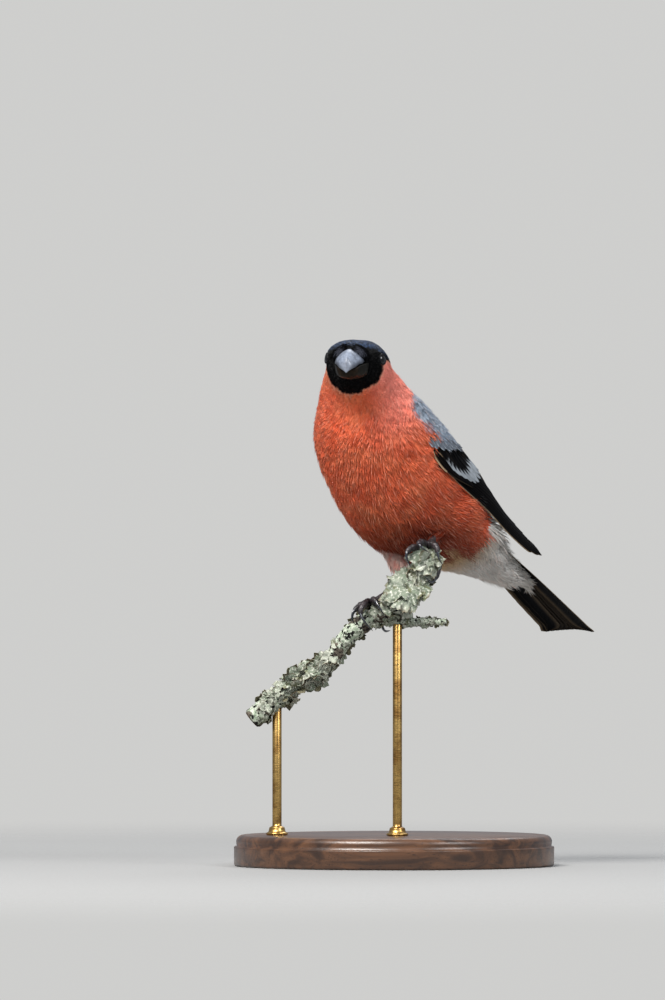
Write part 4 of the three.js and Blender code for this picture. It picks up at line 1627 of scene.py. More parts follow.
class VaneMaker:
    """Makes closed vanes in a frame of its own."""

    THICK = 0.13

    def __init__(self, at: Callable[[Array, Array, Array], Array], seed: int, cells: int) -> None:
        """Starts a piece of vanes.

        Args:
            at: Places along, across and out.
            seed: Its seed.
            cells: Cells a side of the map.
        """
        self.at, self.rng, self.parts = at, np.random.default_rng(seed), Parts(cells)

    def add(self, feather: Feather, rows: int = 40, cols: int = 13) -> None:
        """Adds a vane with its shaft, ragged a little along its edges.

        Args:
            feather: Its sizes.
            rows: Rows along it.
            cols: Points across it.
        """
        t, w = np.linspace(0, 1, rows)[:, None], np.linspace(-1, 1, cols)[None]
        root, tip = np.array(feather.root), np.array(feather.tip)
        line = root + (tip - root) * t[..., None]
        far = np.clip((t - 1 + feather.point) / feather.point, 0, 1)
        reach = np.sqrt(np.clip(1 - far ** feather.blunt, 0.0009, 1)) * (0.4 + 0.6 * smooth(t, 0, 0.2))
        ragged = 1 + self.rng.normal(0, 0.014, (rows, 1)) * smooth(t, 0.05, 0.3)
        web = np.where(w < 0, feather.outer, 2 - feather.outer)
        shift = feather.bow * np.sin(np.pi * t) + feather.hook * far ** 1.5
        across = line[..., 1] + shift + w * feather.half * web * reach * ragged
        length = float(np.linalg.norm(tip - root))
        along = line[..., 0] + 0.35 * feather.half * np.abs(w) * (1 - far)
        shaft = np.exp(-(w / 0.09) ** 2) * (1 - 0.75 * t)
        out = line[..., 2] + 0.16 * shaft - 0.06 * feather.half * w * w
        out = out + 0.05 * np.sin(9 * t + feather.half)
        under = out - self.THICK - 0.26 * shaft
        points, faces, uv = sheet_shell(self.at(along, across, out), self.at(along, across, under))
        left = (1 - t) * length + 0 * w
        edge = feather.pale * (1 + 0.16 * np.sin(5 * w + feather.half * 3))
        pale = np.where(edge > 0.1, smooth(left, edge + 0.9, edge - 0.9), 0)
        rim = feather.rim * smooth(np.abs(w), 0.55, 1.0) * np.where(w < 0, 1.0, 0.45) * np.ones_like(t)
        place_on = np.stack([w + 0 * t, along + 0 * w, np.full((rows, cols), self.rng.random())], -1)
        self.parts.add(points, faces, uv, pale=np.tile(pale.ravel(), 2), rim=np.tile(rim.ravel(), 2),
                       vane=np.tile(place_on.reshape(-1, 3), (2, 1)))

    def build(self, name: str, slot: str, material: Material, *replaced: str) -> None:
        """Finishes the piece."""
        place(self.parts.build(name, material), slot, *replaced)


@dataclass(frozen=True)
class FlightFinish(Finish):
    """Glossy black vanes with barbs, shafts, olive edges and pale tips."""

    name: str
    dark: Triple = (3, 3, 4)
    edge: Triple = (150, 130, 104)
    pale: Triple = (144, 150, 156)
    roughness: float = 0.6
    plain = {"Specular IOR Level": 0.02}

    def wire(self, w: Wiring) -> Sockets:
        """Colour from the vane's masks, relief from its barbs.

        Args:
            w: The material's wiring.
        Returns:
            The shader's sockets.
        """
        group = w.node("ShaderNodeGroup", {"Count": 2.3}, node_tree=Effects.barbs())
        across, _, chance = w.node("ShaderNodeSeparateXYZ", {0: w.triple("vane")}).outputs
        dark = w.mix(w.step(w.noise(260.0), 0.3, 0.75), self.dark, colour(*self.dark, 1.9))
        # Painted sheen: a dark blue tint towards the inner web.
        gloss = w.step(across, -0.1, 0.9, 0.0, 0.4)
        dark = w.mix(gloss, dark, (9, 11, 17))
        base = w.mix(w.value("rim"), dark, self.edge)
        pale = w.mix(w.step(w.noise(300.0, 4.0), 0.35, 0.7), self.pale, colour(*self.pale, 0.72))
        base = w.mix(w.value("pale"), base, pale)
        base = w.mix(w.times(group.outputs["Shaft"], 0.45), base, (40, 34, 30))
        rough = w.step(w.plus(w.value("pale"), w.times(chance, 0.15)), 0.0, 1.1, self.roughness, 0.62)
        return {"Base Color": base, "Roughness": rough,
                "Normal": w.bump(group.outputs["Height"], 0.00012, 0.55)}


def wing_finishes() -> dict[str, Material]:
    """The finishes that both wings wear."""
    grey = FlightFinish("middle_covert", dark=(64, 69, 76), edge=(156, 164, 172), roughness=0.7)
    return {"arm": PlumageFinish("arm_plumage").material(), "quill": FlightFinish("quill").material(),
            "covert": FlightFinish("great_covert", roughness=0.56).material(), "middle": grey.material()}


@dataclass
class Wing:
    """One folded wing: flight feathers on a thin arm, with great coverts over their roots."""

    side: Side
    finishes: dict[str, Material]
    primary_tips: Numbers = (113, 117.4, 119.4, 118, 114, 110, 106.5, 103.5, 100.5)
    primary_ends: Numbers = (-2.7, -1.9, -1.2, 0.0, 2.2, 4.8, 7.4, 9.7, 11.9)
    secondaries: int = 6
    tertials: tuple[Triple, ...] = ((97, 17.0, 16.5), (92, 20.0, 19.0), (85, 23.0, 21.5))
    coverts: tuple[Triple, ...] = (
        (57.4, 3.6, 2.2), (59.8, 3.9, 2.6), (62.4, 4.2, 3.0), (65.0, 4.6, 3.8), (67.6, 5.0, 4.8),
        (69.8, 5.8, 6.0), (71.2, 7.4, 7.4), (72.2, 10.2, 8.6), (72.8, 13.2, 9.6), (73.0, 16.2, 10.0),
        (72.8, 19.2, 9.2), (72.4, 22.0, 8.4), (72.0, 24.6, 7.6))

    def arm(self) -> None:
        """The thin slab that carries the feathers."""
        blade = WING_FRAMES[self.side]
        s, v = crossed(np.linspace(38.6, 96, 60), np.linspace(0.02, 0.96, 28))
        d, thin = v * blade.reach(s), 0.5 * np.sqrt(np.clip(np.sin(np.pi * v), 0, 1))
        top, bottom = blade.at(s, d, -1.75 + 0.55 * smooth(s, 56, 44) + 0 * s), blade.at(s, d, -2.0 - thin)
        points, faces, uv = sheet_shell(top, bottom)
        e = blade.lower(s) + (blade.upper(s) - blade.lower(s)) * v
        marks = {key: np.tile(value.ravel(), 2) for key, value in markings(s, e, 0 * s).items()}
        up = unit(points - np.tile(SPINE.centre(s).reshape(-1, 3), (2, 1)))
        parts = Parts().add(points, faces, uv, root_up=up, **BARE_SKIN, **marks)
        word = self.side.word
        place(parts.build(f"wing_arm_{word}", self.finishes["arm"]), "flight", f"wing_{word}")

    def quills(self) -> None:
        """Primaries, secondaries and tertials, each inner one over its outer neighbour."""
        maker = VaneMaker(WING_FRAMES[self.side].at, 31, 5)
        for i, (tip, end) in enumerate(zip(self.primary_tips, self.primary_ends)):
            out = -1.35 + 0.065 * i
            maker.add(Feather((56, 2.9 + 0.78 * i, out - 0.1), (tip, end, out + 0.1), 3.0, 0.36, 0.16,
                              bow=0.05 * i, rim=1.0 if i < 1 else 0.22))
        for k in range(self.secondaries):
            out = -0.92 + 0.07 * k
            maker.add(Feather((57, 9.6 + 1.6 * k, out - 0.1), (99.5 - 1.1 * k, 12.8 + 1.55 * k, out),
                              3.6, 0.45, 0.12, rim=0.16))
        for k, (tip, start, end) in enumerate(self.tertials):
            maker.add(Feather((59, start, -0.5 + 0.07 * k), (tip, end, -0.4 + 0.09 * k),
                              4.4, 0.7, 0.22, rim=0.14))
        maker.build(f"quills_{self.side.word}", "flight", self.finishes["quill"])

    def covers(self) -> None:
        """Great coverts with pale tips, and the narrow dark coverts of the wing's edge."""
        maker = VaneMaker(WING_FRAMES[self.side].at, 47, 5)
        for k in range(7):
            out = -0.55 + 0.03 * k
            root, tip = (49 + k, -0.5 + 0.6 * k, out - 0.2), (60 + 1.6 * k, 2.5 + 0.15 * k, out + 0.1)
            maker.add(Feather(root, tip, 1.3 if k else 1.7, 0.8, 0.35, 1.6, rim=0.1 if k else 2.2), 26, 9)
        for j, (tip, end, pale) in enumerate(self.coverts):
            start = 2.0 + 1.85 * j
            root, out = float(lookup(start, COVERT_LINE)) - 3.5, -0.5 + 0.045 * j
            maker.add(Feather((root, start, -1.2), (tip, end, out + 0.12), 2.0 if j > 5 else 1.5,
                              0.85, 0.4, 1.5, bow=0.8 * max(0, 5 - j) / 5, pale=pale, rim=0.06), 40, 11)
        maker.build(f"coverts_{self.side.word}", "flight", self.finishes["covert"])

    def middle(self) -> None:
        """A row of grey coverts, dark in the middle, over the great ones' roots."""
        maker = VaneMaker(WING_FRAMES[self.side].at, 53, 4)
        for j in range(17):
            d = -0.6 + 1.65 * j
            end = float(lookup(d, COVERT_LINE)) + 0.9 + 0.6 * math.sin(2.6 * j)
            maker.add(Feather((end - 4.6, d - 0.7, -1.2), (end, d, -0.15 + 0.02 * j),
                              1.3, 0.9, 0.6, 1.7, rim=0.9), 20, 9)
        maker.build(f"middle_coverts_{self.side.word}", "cap", self.finishes["middle"])

    def build(self) -> None:
        """The whole wing."""
        self.arm()
        self.quills()
        self.covers()
        self.middle()


@dataclass
class Tail:
    """Twelve tail feathers, the middle pair on top, with glossy coverts over their roots."""

    pairs: int = 6
    coverts: int = 8
    notch: float = -1.4
    half: float = 4.2

    def build(self) -> None:
        """The tail."""
        maker = VaneMaker(tail_at, 61, 5)
        for k in reversed(range(self.pairs)):
            for side in Side:
                aside = 0.8 + 1.5 * k
                far = TAIL_LENGTH - 0.2 - self.notch * (1 - (aside / 8.3) ** 1.4)
                over = 0.4 - 0.17 * k - 0.04 * (side is Side.RIGHT)
                maker.at = (lambda x, y, z, s=side.value: tail_at(x, -s * y, z))
                maker.add(Feather((1.0, -0.5 - 0.5 * k, over * 0.6), (far, -aside, over), self.half,
                                  0.75, 0.09, 4.5, -0.6 - 0.3 * k, -0.5 - 0.12 * k,
                                  rim=0.5 if k == 5 else 0.18), 44, 15)
        maker.at = tail_at
        for k in range(self.coverts):
            aside = -4.2 + 1.2 * k
            maker.add(Feather((-4, aside * 0.9, 2.9), (17 - 0.35 * aside * aside, aside, 1.3),
                              2.1, 0.95, 0.5, rim=0.1), 24, 9)
        maker.build("tail_feathers", "flight", FlightFinish("tail_vane").material(), "tail")


# bill, eyes and feet
@dataclass(frozen=True)
class HornFinish(Finish):
    """Horn of the bill, darker low down and in its pits, and warmer towards the tip; on the upper half the
    paler crest is painted sheen.
    """

    name: str
    pale: Triple
    dark: Triple
    warm: Triple
    plain: dict[str, float]

    def wire(self, w: Wiring) -> Sockets:
        """Colours by the place on the bill, with fine grain in all of them.

        Args:
            w: The material's wiring.
        Returns:
            The shader's sockets.
        """
        grain = w.node("ShaderNodeGroup", {"Vector": w.where(), "Scale": 1400.0}, node_tree=Effects.grain())
        # Painted sheen: the crest paler than the sides, strongest on the upper half.
        base = w.mix(w.step(w.value("crest"), 0.02, 0.55), self.dark, self.pale)
        base = w.mix(w.times(w.step(w.value("along"), 0.75, 1.0), 0.7), base, self.warm)
        base = w.mix(w.times(grain.outputs["Mask"], 0.35), base, self.dark)
        base = w.mix(w.step(w.noise(420.0, 4.0), 0.46, 0.64, 0.0, 0.4), base, self.dark)
        return {"Base Color": base, "Roughness": w.step(grain.outputs["Mask"], 0.0, 1.0, 0.34, 0.5),
                "Normal": w.bump(grain.outputs["Height"], 0.00006, 0.5)}


@dataclass
class Bill:
    """The stubby bill: two hollowed halves with a ridge, a hooked tip and a cutting edge."""

    pitch: float = 9
    heading: float = 9
    drop: float = 0.2
    taper: float = 0.12
    upper: Table = ((-3, 4.9, 3.9, 0), (0, 4.8, 4.0, 0), (2.2, 4.4, 4.1, 0.1), (4.2, 3.5, 3.8, 0.4),
                    (5.9, 2.5, 3.1, 0.9), (7.1, 1.5, 2.2, 1.5), (7.8, 0.5, 1.1, 2.3))
    lower: Table = ((-3, 5.5, 4.9, 0.5), (0, 5.5, 5.0, 0.5), (2.0, 4.9, 4.7, 0.5), (3.8, 4.1, 4.0, 0.75),
                    (5.3, 3.0, 2.9, 1.2), (6.2, 1.5, 1.7, 1.7))
    lower_shift: float = 0.5

    def half_bill(self, name: str, table: Table, up: int, ridge: float, material: Material) -> None:
        """Builds one half.

        Args:
            name: The piece's name, which is also the node's.
            table: Distance ahead, half width, height and drop.
            up: 1 for the upper half and -1 for the lower.
            ridge: Height of its ridge in millimetres.
            material: Its finish.
        """
        back, left, above = axes(-self.pitch, self.heading)
        base = SPINE.centre(0) - above * self.drop
        half, height, drop = columns(table)
        ahead = np.linspace(table[0][0], table[-1][0], 48)[:, None]
        a = turns(64)[None]
        arch, sunk = np.maximum(np.sin(a), 0) ** (1.3 if up > 0 else 0.33), np.maximum(-np.sin(a), 0)
        blunt = np.sqrt(np.clip((table[-1][0] + 0.1 - ahead) / 0.9, 0.01, 1))
        keel = ridge * np.exp(-((np.degrees(a) - 90) / 15) ** 2)
        wave = 0.10 * np.sin(1.9 * ahead + 0.6) * np.exp(-((np.cos(a) ** 2 - 1) / 0.3) ** 2)
        wide = half(ahead) * np.cos(a) * (1 - self.taper * arch) * blunt
        wide = wide + (self.lower_shift * smooth(ahead, 6, 1) if up < 0 else 0.0)
        tall = up * ((height(ahead) * arch + keel) * blunt - 0.1 * sunk) - drop(ahead) + wave
        ahead = ahead + 0 * a
        points = base - back * ahead[..., None] + left * wide[..., None] + above * tall[..., None]
        along = np.append(((ahead + 3) / (table[-1][0] + 3)).ravel(), (0, 1))
        crest = np.append(np.broadcast_to(arch, ahead.shape).ravel(), (0.5, 0.5))
        parts = Parts().add(*tube_shell(points), along=along, crest=crest)
        place(parts.build(name + "_horn", material), "bill", name)

    def build(self) -> None:
        """Both halves."""
        gloss = {"Specular IOR Level": 0.6, "Coat Weight": 0.25, "Coat Roughness": 0.18}
        # The upper half's pale bluish crest colour is painted sheen over black horn.
        top = HornFinish("upper_horn", (132, 141, 158), (44, 48, 58), (112, 116, 126), gloss)
        low = HornFinish("lower_horn", (32, 30, 24), (15, 14, 12), (40, 25, 11), {"Specular IOR Level": 0.1})
        self.half_bill("bill_upper", self.upper, 1, 0.25, top.material())
        self.half_bill("bill_lower", self.lower, -1, 0.1, low.material())


class EyeGloss(Finish):
    """A wet black eyeball, a little brown towards its front."""

    name = "eye_gloss"
    plain = {"Coat Weight": 1.0, "Coat Roughness": 0.02, "Specular IOR Level": 0.02}

    def wire(self, w: Wiring) -> Sockets:
        """Colour by the distance from the front."""
        return {"Base Color": w.mix(w.step(w.value("along"), 0.0, 0.52), (3, 3, 4), (22, 12, 8)),
                "Roughness": w.patchy(700.0, 0.05, 0.1)}


class Eyelid(Finish):
    """Dark mottled skin."""

    name = "eyelid"
    plain = {"Specular IOR Level": 0.1}

    def wire(self, w: Wiring) -> Sockets:
        """Fine mottling."""
        return {"Base Color": w.mix(w.noise(1500.0), (8, 8, 10), (25, 26, 30)),
                "Roughness": w.patchy(900.0, 0.45, 0.7)}


@dataclass
class Eyes:
    """Dark glossy eyes, each in a ring of small lid beads."""

    ring: float = 1.5
    lid: float = 0.2
    beads: int = 26

    def build(self) -> None:
        """Both eyes."""
        iris, skin = EyeGloss().material(), Eyelid().material()
        for side in Side:
            centre, out = eye_place(side)
            over = unit(np.array((0, 0, 1.0)) - out * out[2])
            fore = np.cross(over, out)
            pose = centre, out, fore, over
            tilt, turn = crossed(np.linspace(0.02, math.pi - 0.02, 40), turns(56))
            ball = along_axis(*pose, EYE_RADIUS * np.cos(tilt), EYE_RADIUS * np.sin(tilt), turn)
            parts = Parts().add(*tube_shell(ball), along=np.append((tilt / math.pi).ravel(), (0, 1)))
            place(parts.build(f"eyeball_{side.word}", iris), "eye", f"eye_{side.word}")
            self.lids(side, pose, skin)

    def lids(self, side: Side, pose: tuple[Array, ...], skin: Material) -> None:
        """The beaded ring round an eye.

        Args:
            side: Which eye.
            pose: The middle of its ball, and its outward, forward and upward directions.
            skin: The lid's finish.
        """
        height = math.sqrt(EYE_RADIUS ** 2 - self.ring ** 2)
        turn, a = crossed(turns(156), turns(10))
        thick = self.lid * (1 + 0.22 * np.abs(np.sin(turn * self.beads / 2)))
        radius = self.ring + 0.12 + thick * np.cos(a)
        points = along_axis(*pose, height + thick * np.sin(a), radius, turn)
        rows, cols = turn.shape
        flat, faces = points.reshape(-1, 3), grid_faces(rows + 1, cols) % (rows * cols)
        parts = Parts().add(flat, outward(flat, faces), grid_uv(rows + 1, cols))
        place(parts.build(f"eyelid_{side.word}", skin), "cap")


@dataclass
class Foot:
    """A shank and four toes with scutes and pads, and four curved claws: five points for each toe."""

    side: Side
    heel: Triple
    ankle: Triple
    toes: tuple[tuple[Triple, ...], ...]
    claw_from: float = 0.56

    def toe_rings(self, curve: Curve, scutes: int) -> Array:
        """A toe's rings, stepped by its scutes above and swollen by its pads below.

        Args:
            curve: The toe's curve.
            scutes: How many scutes.
        Returns:
            The rings.
        """
        share = np.linspace(0, self.claw_from + 0.07, 84)
        radius = np.interp(share, (0, 0.2, 0.4, self.claw_from, 0.66), (1.15, 1.02, 1.0, 0.92, 0.62))
        a = turns(20)[None]
        step = (share[:, None] / self.claw_from * scutes) % 1
        upper, lower = smooth(np.sin(a), -0.1, 0.5), smooth(-np.sin(a), 0.1, 0.7)
        joints = 0.2 * (bell(share, 0.2, 0.05) + bell(share, 0.4, 0.05))
        scale = 0.20 * (0.5 - step ** 2.4) * upper + joints[:, None]
        pad = 0.22 * np.abs(np.sin(np.pi * share[:, None] / self.claw_from * 3.2)) * lower
        return swept(curve, share, radius[:, None] * (0.96 + scale + pad), 20, flat=0.92)

    def claw_rings(self, curve: Curve) -> Array:
        """A claw's rings, deeper than wide, tapering to its point.

        Args:
            curve: The toe's curve.
        Returns:
            The rings.
        """
        share = np.linspace(self.claw_from - 0.02, 1.0, 40)
        t = (share - share[0]) / (share[-1] - share[0])
        radius = 0.74 * (1 - t) ** 0.75 * (1 - 0.15 * t) + 0.06
        a = turns(16)[None]
        groove = 1 - 0.10 * np.exp(-((np.sin(a) + 0.35) / 0.22) ** 2)
        return swept(curve, share, radius[:, None] * groove, 16, flat=0.72)

    def shank_rings(self) -> Array:
        """The shank's rings, with broad scutes in front."""
        curve = Curve([self.heel, self.ankle])
        share = np.linspace(0, 1, 90)
        a = turns(20)[None]
        step = (share[:, None] * 9) % 1
        radius = np.interp(share, (0, 0.5, 0.9, 1.0), (1.25, 1.05, 1.1, 1.05))[:, None]
        radius = radius * (1 + 0.09 * (0.5 - step ** 3) * smooth(np.sin(a), -0.2, 0.5))
        return swept(curve, share, radius, 20, up=(0, -1, 0.3))

    def build(self, skin: Material, horn: Material) -> None:
        """The leg with its toes, then the claws.

        Args:
            skin: The legs' finish.
            horn: The claws' finish.
        """
        scaly, claws = Parts(3), Parts(2)
        curves = [Curve([self.ankle, *toe]) for toe in self.toes]
        scutes = [*(self.toe_rings(curve, 7) for curve in curves), self.shank_rings()]
        for parts, shapes in ((scaly, scutes), (claws, [self.claw_rings(curve) for curve in curves])):
            for rings in shapes:
                along = np.append(np.repeat(np.linspace(0, 1, len(rings)), rings.shape[1]), (0, 1))
                parts.add(*tube_shell(rings), along=along)
        word = self.side.word
        place(scaly.build(f"scaly_leg_{word}", skin), "leg", f"leg_{word}", f"foot_{word}")
        place(claws.build(f"claws_{word}", horn), "leg")


FEET = (
    Foot(Side.LEFT, (18.4, -0.6, 111.4), (10.3, -14, 103.6), (
        ((7.8, -16.8, 103.5), (5.1, -19, 103.0), (4.0, -20.3, 101.4), (4, -20.6, 99.8), (5.4, -20.2, 96.8)),
        ((9.4, -17.2, 104.9), (8.0, -20.0, 104.9), (8.2, -21.8, 104.0), (9.4, -22.2, 102.9),
         (11.0, -21.0, 101.8)),
        ((12.2, -16.6, 104.4), (13.7, -18.6, 103.2), (14.0, -19.6, 101.2), (14.5, -19.6, 99.4),
         (15.6, -18.8, 97.8)),
        ((12.9, -11, 102), (14.2, -10.6, 98), (13.9, -11.8, 94.8), (12.2, -16.0, 92.1),
         (9.7, -20.2, 94.0)))),
    Foot(Side.RIGHT, (2.3, -0.6, 91.4), (-7.2, -8, 85.2), (
        ((-10.4, -12, 84.8), (-13.0, -14.8, 82.8), (-13.6, -15.4, 81.2), (-13.5, -15.6, 79.8),
         (-12.6, -15, 78.2)),
        ((-8.9, -12.6, 85.7), (-10.3, -16.5, 84.3), (-11.0, -17.8, 82.2), (-9.7, -18.2, 79.5),
         (-6.9, -16.6, 76.3)),
        ((-6.9, -12.6, 86.2), (-6.3, -16.3, 86.1), (-5.4, -17.8, 84.8), (-4.4, -18.4, 83.3),
         (-3.3, -17.8, 81.4)),
        ((-5.9, -4.4, 84.0), (-4.5, -3.4, 81), (-4, -5.0, 78.0), (-3, -7.4, 76.3), (-1.3, -10.8, 76.4)))),
)


class ScalySkin(Finish):
    """Dark purplish brown scales, paler where they catch wear."""

    name = "scaly_skin"
    plain = {"Specular IOR Level": 0.6, "Coat Weight": 0.15, "Coat Roughness": 0.3}

    def wire(self, w: Wiring) -> Sockets:
        """Small cells with dark sunk edges.

        Args:
            w: The material's wiring.
        Returns:
            The shader's sockets.
        """
        inputs = {"Vector": w.where(), "Scale": 1500.0}
        cells = w.node("ShaderNodeTexVoronoi", inputs, feature="DISTANCE_TO_EDGE")
        edge = w.step(cells.outputs[0], 0.0, 0.12)
        base = w.mix(w.step(w.noise(500.0), 0.35, 0.65), (20, 15, 18), (50, 38, 42))
        return {"Base Color": w.mix(edge, (9, 7, 8), base), "Roughness": w.patchy(900.0, 0.34, 0.55),
                "Normal": w.bump(edge, 0.00008, 0.6)}


class ClawHorn(Finish):
    """Blue-black glossy horn."""

    name = "claw_horn"
    plain = {"Specular IOR Level": 0.75, "Coat Weight": 0.4, "Coat Roughness": 0.1}

    def wire(self, w: Wiring) -> Sockets:
        """Darker towards the tip, with pale flecks.

        Args:
            w: The material's wiring.
        Returns:
            The shader's sockets.
        """
        base = w.mix(w.step(w.value("along"), 0.0, 1.0), (34, 36, 44), (14, 16, 22))
        base = w.mix(w.times(w.step(w.noise(1800.0), 0.5, 0.75), 0.4), base, (70, 78, 96))
        return {"Base Color": base, "Roughness": w.patchy(1200.0, 0.16, 0.3)}


# the perch
@dataclass(frozen=True)
class LichenPatch:
    """A stretch of the branch wrapped in lichen.

    Attributes:
        name: The piece's name, and the node's after perch_.
        start: Share of the branch at which it starts.
        end: Share of the branch at which it ends.
        radius: Its radius with its lobes in millimetres.
        lobes: How many swellings go round it.
        size: Their height over its radius.
        turn: Where the first one lies in radians.
        leaf: Length of its lobes in millimetres.
        squat: How much flatter it is below.
    """

    name: str
    start: float
    end: float
    radius: float
    lobes: int
    size: float
    turn: float
    leaf: float
    squat: float = 0.1


@dataclass(frozen=True)
class Fan:
    """A single broad lobe of lichen: root, tip and the way its face looks, with its half width."""

    root: Triple
    tip: Triple
    face: Triple
    wide: float = 1.0


class LeafMaker:
    """Makes ruffled lichen lobes: the few that the perch repeats, and single broad ones."""

    def __init__(self, seed: int) -> None:
        """Starts the outlines' random numbers."""
        self.rng = np.random.default_rng(seed)

    def lobe(self, radii: Sequence[float], steps: int, crisp: float = 1.0) -> tuple[Array, Array, Array]:
        """One lobe, one millimetre long along Y, its face looking along Z.

        Args:
            radii: Shares of its length at which its rows lie.
            steps: Points along each row.
            crisp: Strength of the ruffles.
        Returns:
            The upper sheet, the lower sheet and the rows' shares of the length.
        """
        r, turn = crossed(np.array(radii), np.radians(np.linspace(-105, 105, steps)))
        phase = self.rng.uniform(0, 2 * math.pi, 4)
        frill = 0.11 * np.sin(5 * turn + phase[0]) + 0.08 * np.sin(9 * turn + phase[1])
        curl = np.sin(17 * turn + phase[2]) + 0.8 * np.sin(31 * turn + phase[3])
        frill = frill + 0.10 * (crisp - 1) * curl
        outline = 0.74 + 0.26 * np.cos(turn) + frill * r ** 4
        x, y = r * outline * np.sin(turn) * 0.85, r * outline * np.cos(turn)
        z = 0.08 * r + 0.13 * r ** 2 * np.sin(4.3 * turn + phase[2])
        z = z + 0.10 * r ** 3 * np.sin(8 * turn + phase[3]) - 0.12 * r ** 4
        z = z + 0.16 * (crisp - 1) * r ** 9 * np.sin(19 * turn + phase[0])
        top = np.stack([x, y, z + 0.02], -1)
        return top, np.stack([x * 0.985, y * 0.985, z - 0.045 + 0.02 * r], -1), r

    def collection(self) -> Collection:
        """The lobes, closed and thin, with a ruffled rim."""
        made = bpy.data.collections.new("lichen_lobes")
        for number in range(VARIANTS):
            top, bottom, r = self.lobe((0.04, 0.3, 0.55, 0.78, 0.93, 1.0), 13)
            points, faces, _ = sheet_shell(top, bottom)
            rim = np.tile((r ** 5).ravel(), 2)
            under = np.repeat((0.0, 1.0), r.size)
            patch = np.tile((top * (0.5, 0.8, 0) + (0.5, 0.1, 0)).reshape(-1, 3), (2, 1))
            corner = patch[:, :2][np.concatenate(faces)]
            parts = Parts().add(points, faces, corner, along=rim, barb=under, patch=patch)
            shelve(parts.build(f"lichen_lobe_{number}"), made)
        return made

    def fans(self, name: str, fans: Sequence[Fan], material: Material) -> None:
        """Builds single broad lobes as one piece.

        Args:
            name: The piece's name.
            fans: The lobes.
            material: Their finish.
        """
        parts = Parts(4)
        for fan in fans:
            top, bottom, r = self.lobe(np.linspace(0.03, 1, 18), 91, 1.35)
            reach = np.array(fan.tip) - np.array(fan.root)
            ahead = unit(reach)
            over = unit(np.array(fan.face) - ahead * np.dot(fan.face, ahead))
            turn = np.stack([np.cross(ahead, over) * fan.wide, ahead, over])
            sheets = [np.array(fan.root) + float(np.linalg.norm(reach)) * (sheet * (1, 1, 0.8)) @ turn
                      for sheet in (top, bottom)]
            sheets = [sheet + over * 0.22 * Ripple(44, 2.4)(sheet)[..., None] for sheet in sheets]
            parts.add(*sheet_shell(*sheets), along=np.tile((r ** 6).ravel(), 2),
                      barb=np.repeat((0.0, 1.0), r.size), tuft=self.rng.random())
        place(parts.build(name, material), "lichen")


class Bark(Finish):
    """Grey-brown bark, crusted with mint and cream, with black specks."""

    name = "bark"
    plain = {"Specular IOR Level": 0.3}

    def wire(self, w: Wiring) -> Sockets:
        """Crust over bark, and specks over both.

        Args:
            w: The material's wiring.
        Returns:
            The shader's sockets.
        """
        fine, crust = w.noise(1100.0, 5.0), w.noise(230.0, 4.0)
        base = w.mix(w.step(fine, 0.35, 0.65), (44, 38, 32), (110, 102, 90))
        mint = w.mix(w.step(fine, 0.4, 0.6), (146, 160, 138), (194, 200, 184))
        mask = w.step(crust, 0.47, 0.53)
        specks = [w.step(w.noise(1700.0, 2.0), 0.62, 0.66), w.step(w.noise(640.0, 2.0), 0.56, 0.6)]
        base = w.mix(w.math("MAXIMUM", *specks), w.mix(mask, base, mint), (14, 12, 10))
        return {"Base Color": base, "Roughness": w.step(fine, 0.3, 0.7, 0.7, 0.95),
                "Normal": w.bump(w.plus(w.times(mask, 0.6), fine), 0.0004, 0.8)}


class Lichen(Finish):
    """Pale grey-green lobes with cream, brown-edged rims and mealy specks."""

    name = "lichen"
    plain = {"Specular IOR Level": 0.25, "Sheen Weight": 0.1}

    def wire(self, w: Wiring) -> Sockets:
        """Colours that change from lobe to lobe, under the rims and the specks.

        Args:
            w: The material's wiring.
        Returns:
            The shader's sockets.
        """
        broad, fine = w.noise(170.0), w.noise(1300.0, 4.0)
        tone = w.plus(broad, w.times(w.math("SUBTRACT", w.value("tuft"), 0.5), 0.35))
        base = w.mix(w.step(tone, 0.3, 0.7), (115, 125, 108), (169, 173, 158))
        base = w.mix(w.step(w.noise(260.0, 2.0), 0.54, 0.64, 0.0, 0.7), base, (98, 100, 66))
        base = w.mix(w.step(fine, 0.5, 0.72), base, (208, 208, 196))
        base = w.mix(w.value("barb"), base, (112, 108, 84))
        rim = w.times(w.step(w.value("along"), 0.5, 1.0), w.step(w.noise(420.0), 0.38, 0.6))
        base = w.mix(w.times(rim, 0.75), base, (92, 72, 48))
        return {"Base Color": base, "Roughness": w.step(fine, 0.3, 0.7, 0.75, 0.95),
                "Normal": w.bump(w.plus(fine, w.noise(420.0, 2.0)), 0.00035, 0.7)}


class SawnWood(Finish):
    """A sawn end with its growth rings and bark."""

    name = "sawn_wood"
    plain = {"Specular IOR Level": 0.3}

    def wire(self, w: Wiring) -> Sockets:
        """Rings by the distance from the middle.

        Args:
            w: The material's wiring.
        Returns:
            The shader's sockets.
        """
        rings = w.math("SINE", w.times(w.value("along"), 62.0))
        base = w.mix(w.step(rings, -0.4, 0.8), (150, 118, 82), (196, 168, 128))
        base = w.mix(w.step(w.value("along"), 0.86, 0.96), base, (70, 56, 44))
        return {"Base Color": base, "Roughness": w.patchy(700.0, 0.6, 0.85),
                "Normal": w.bump(rings, 0.00008, 0.5)}


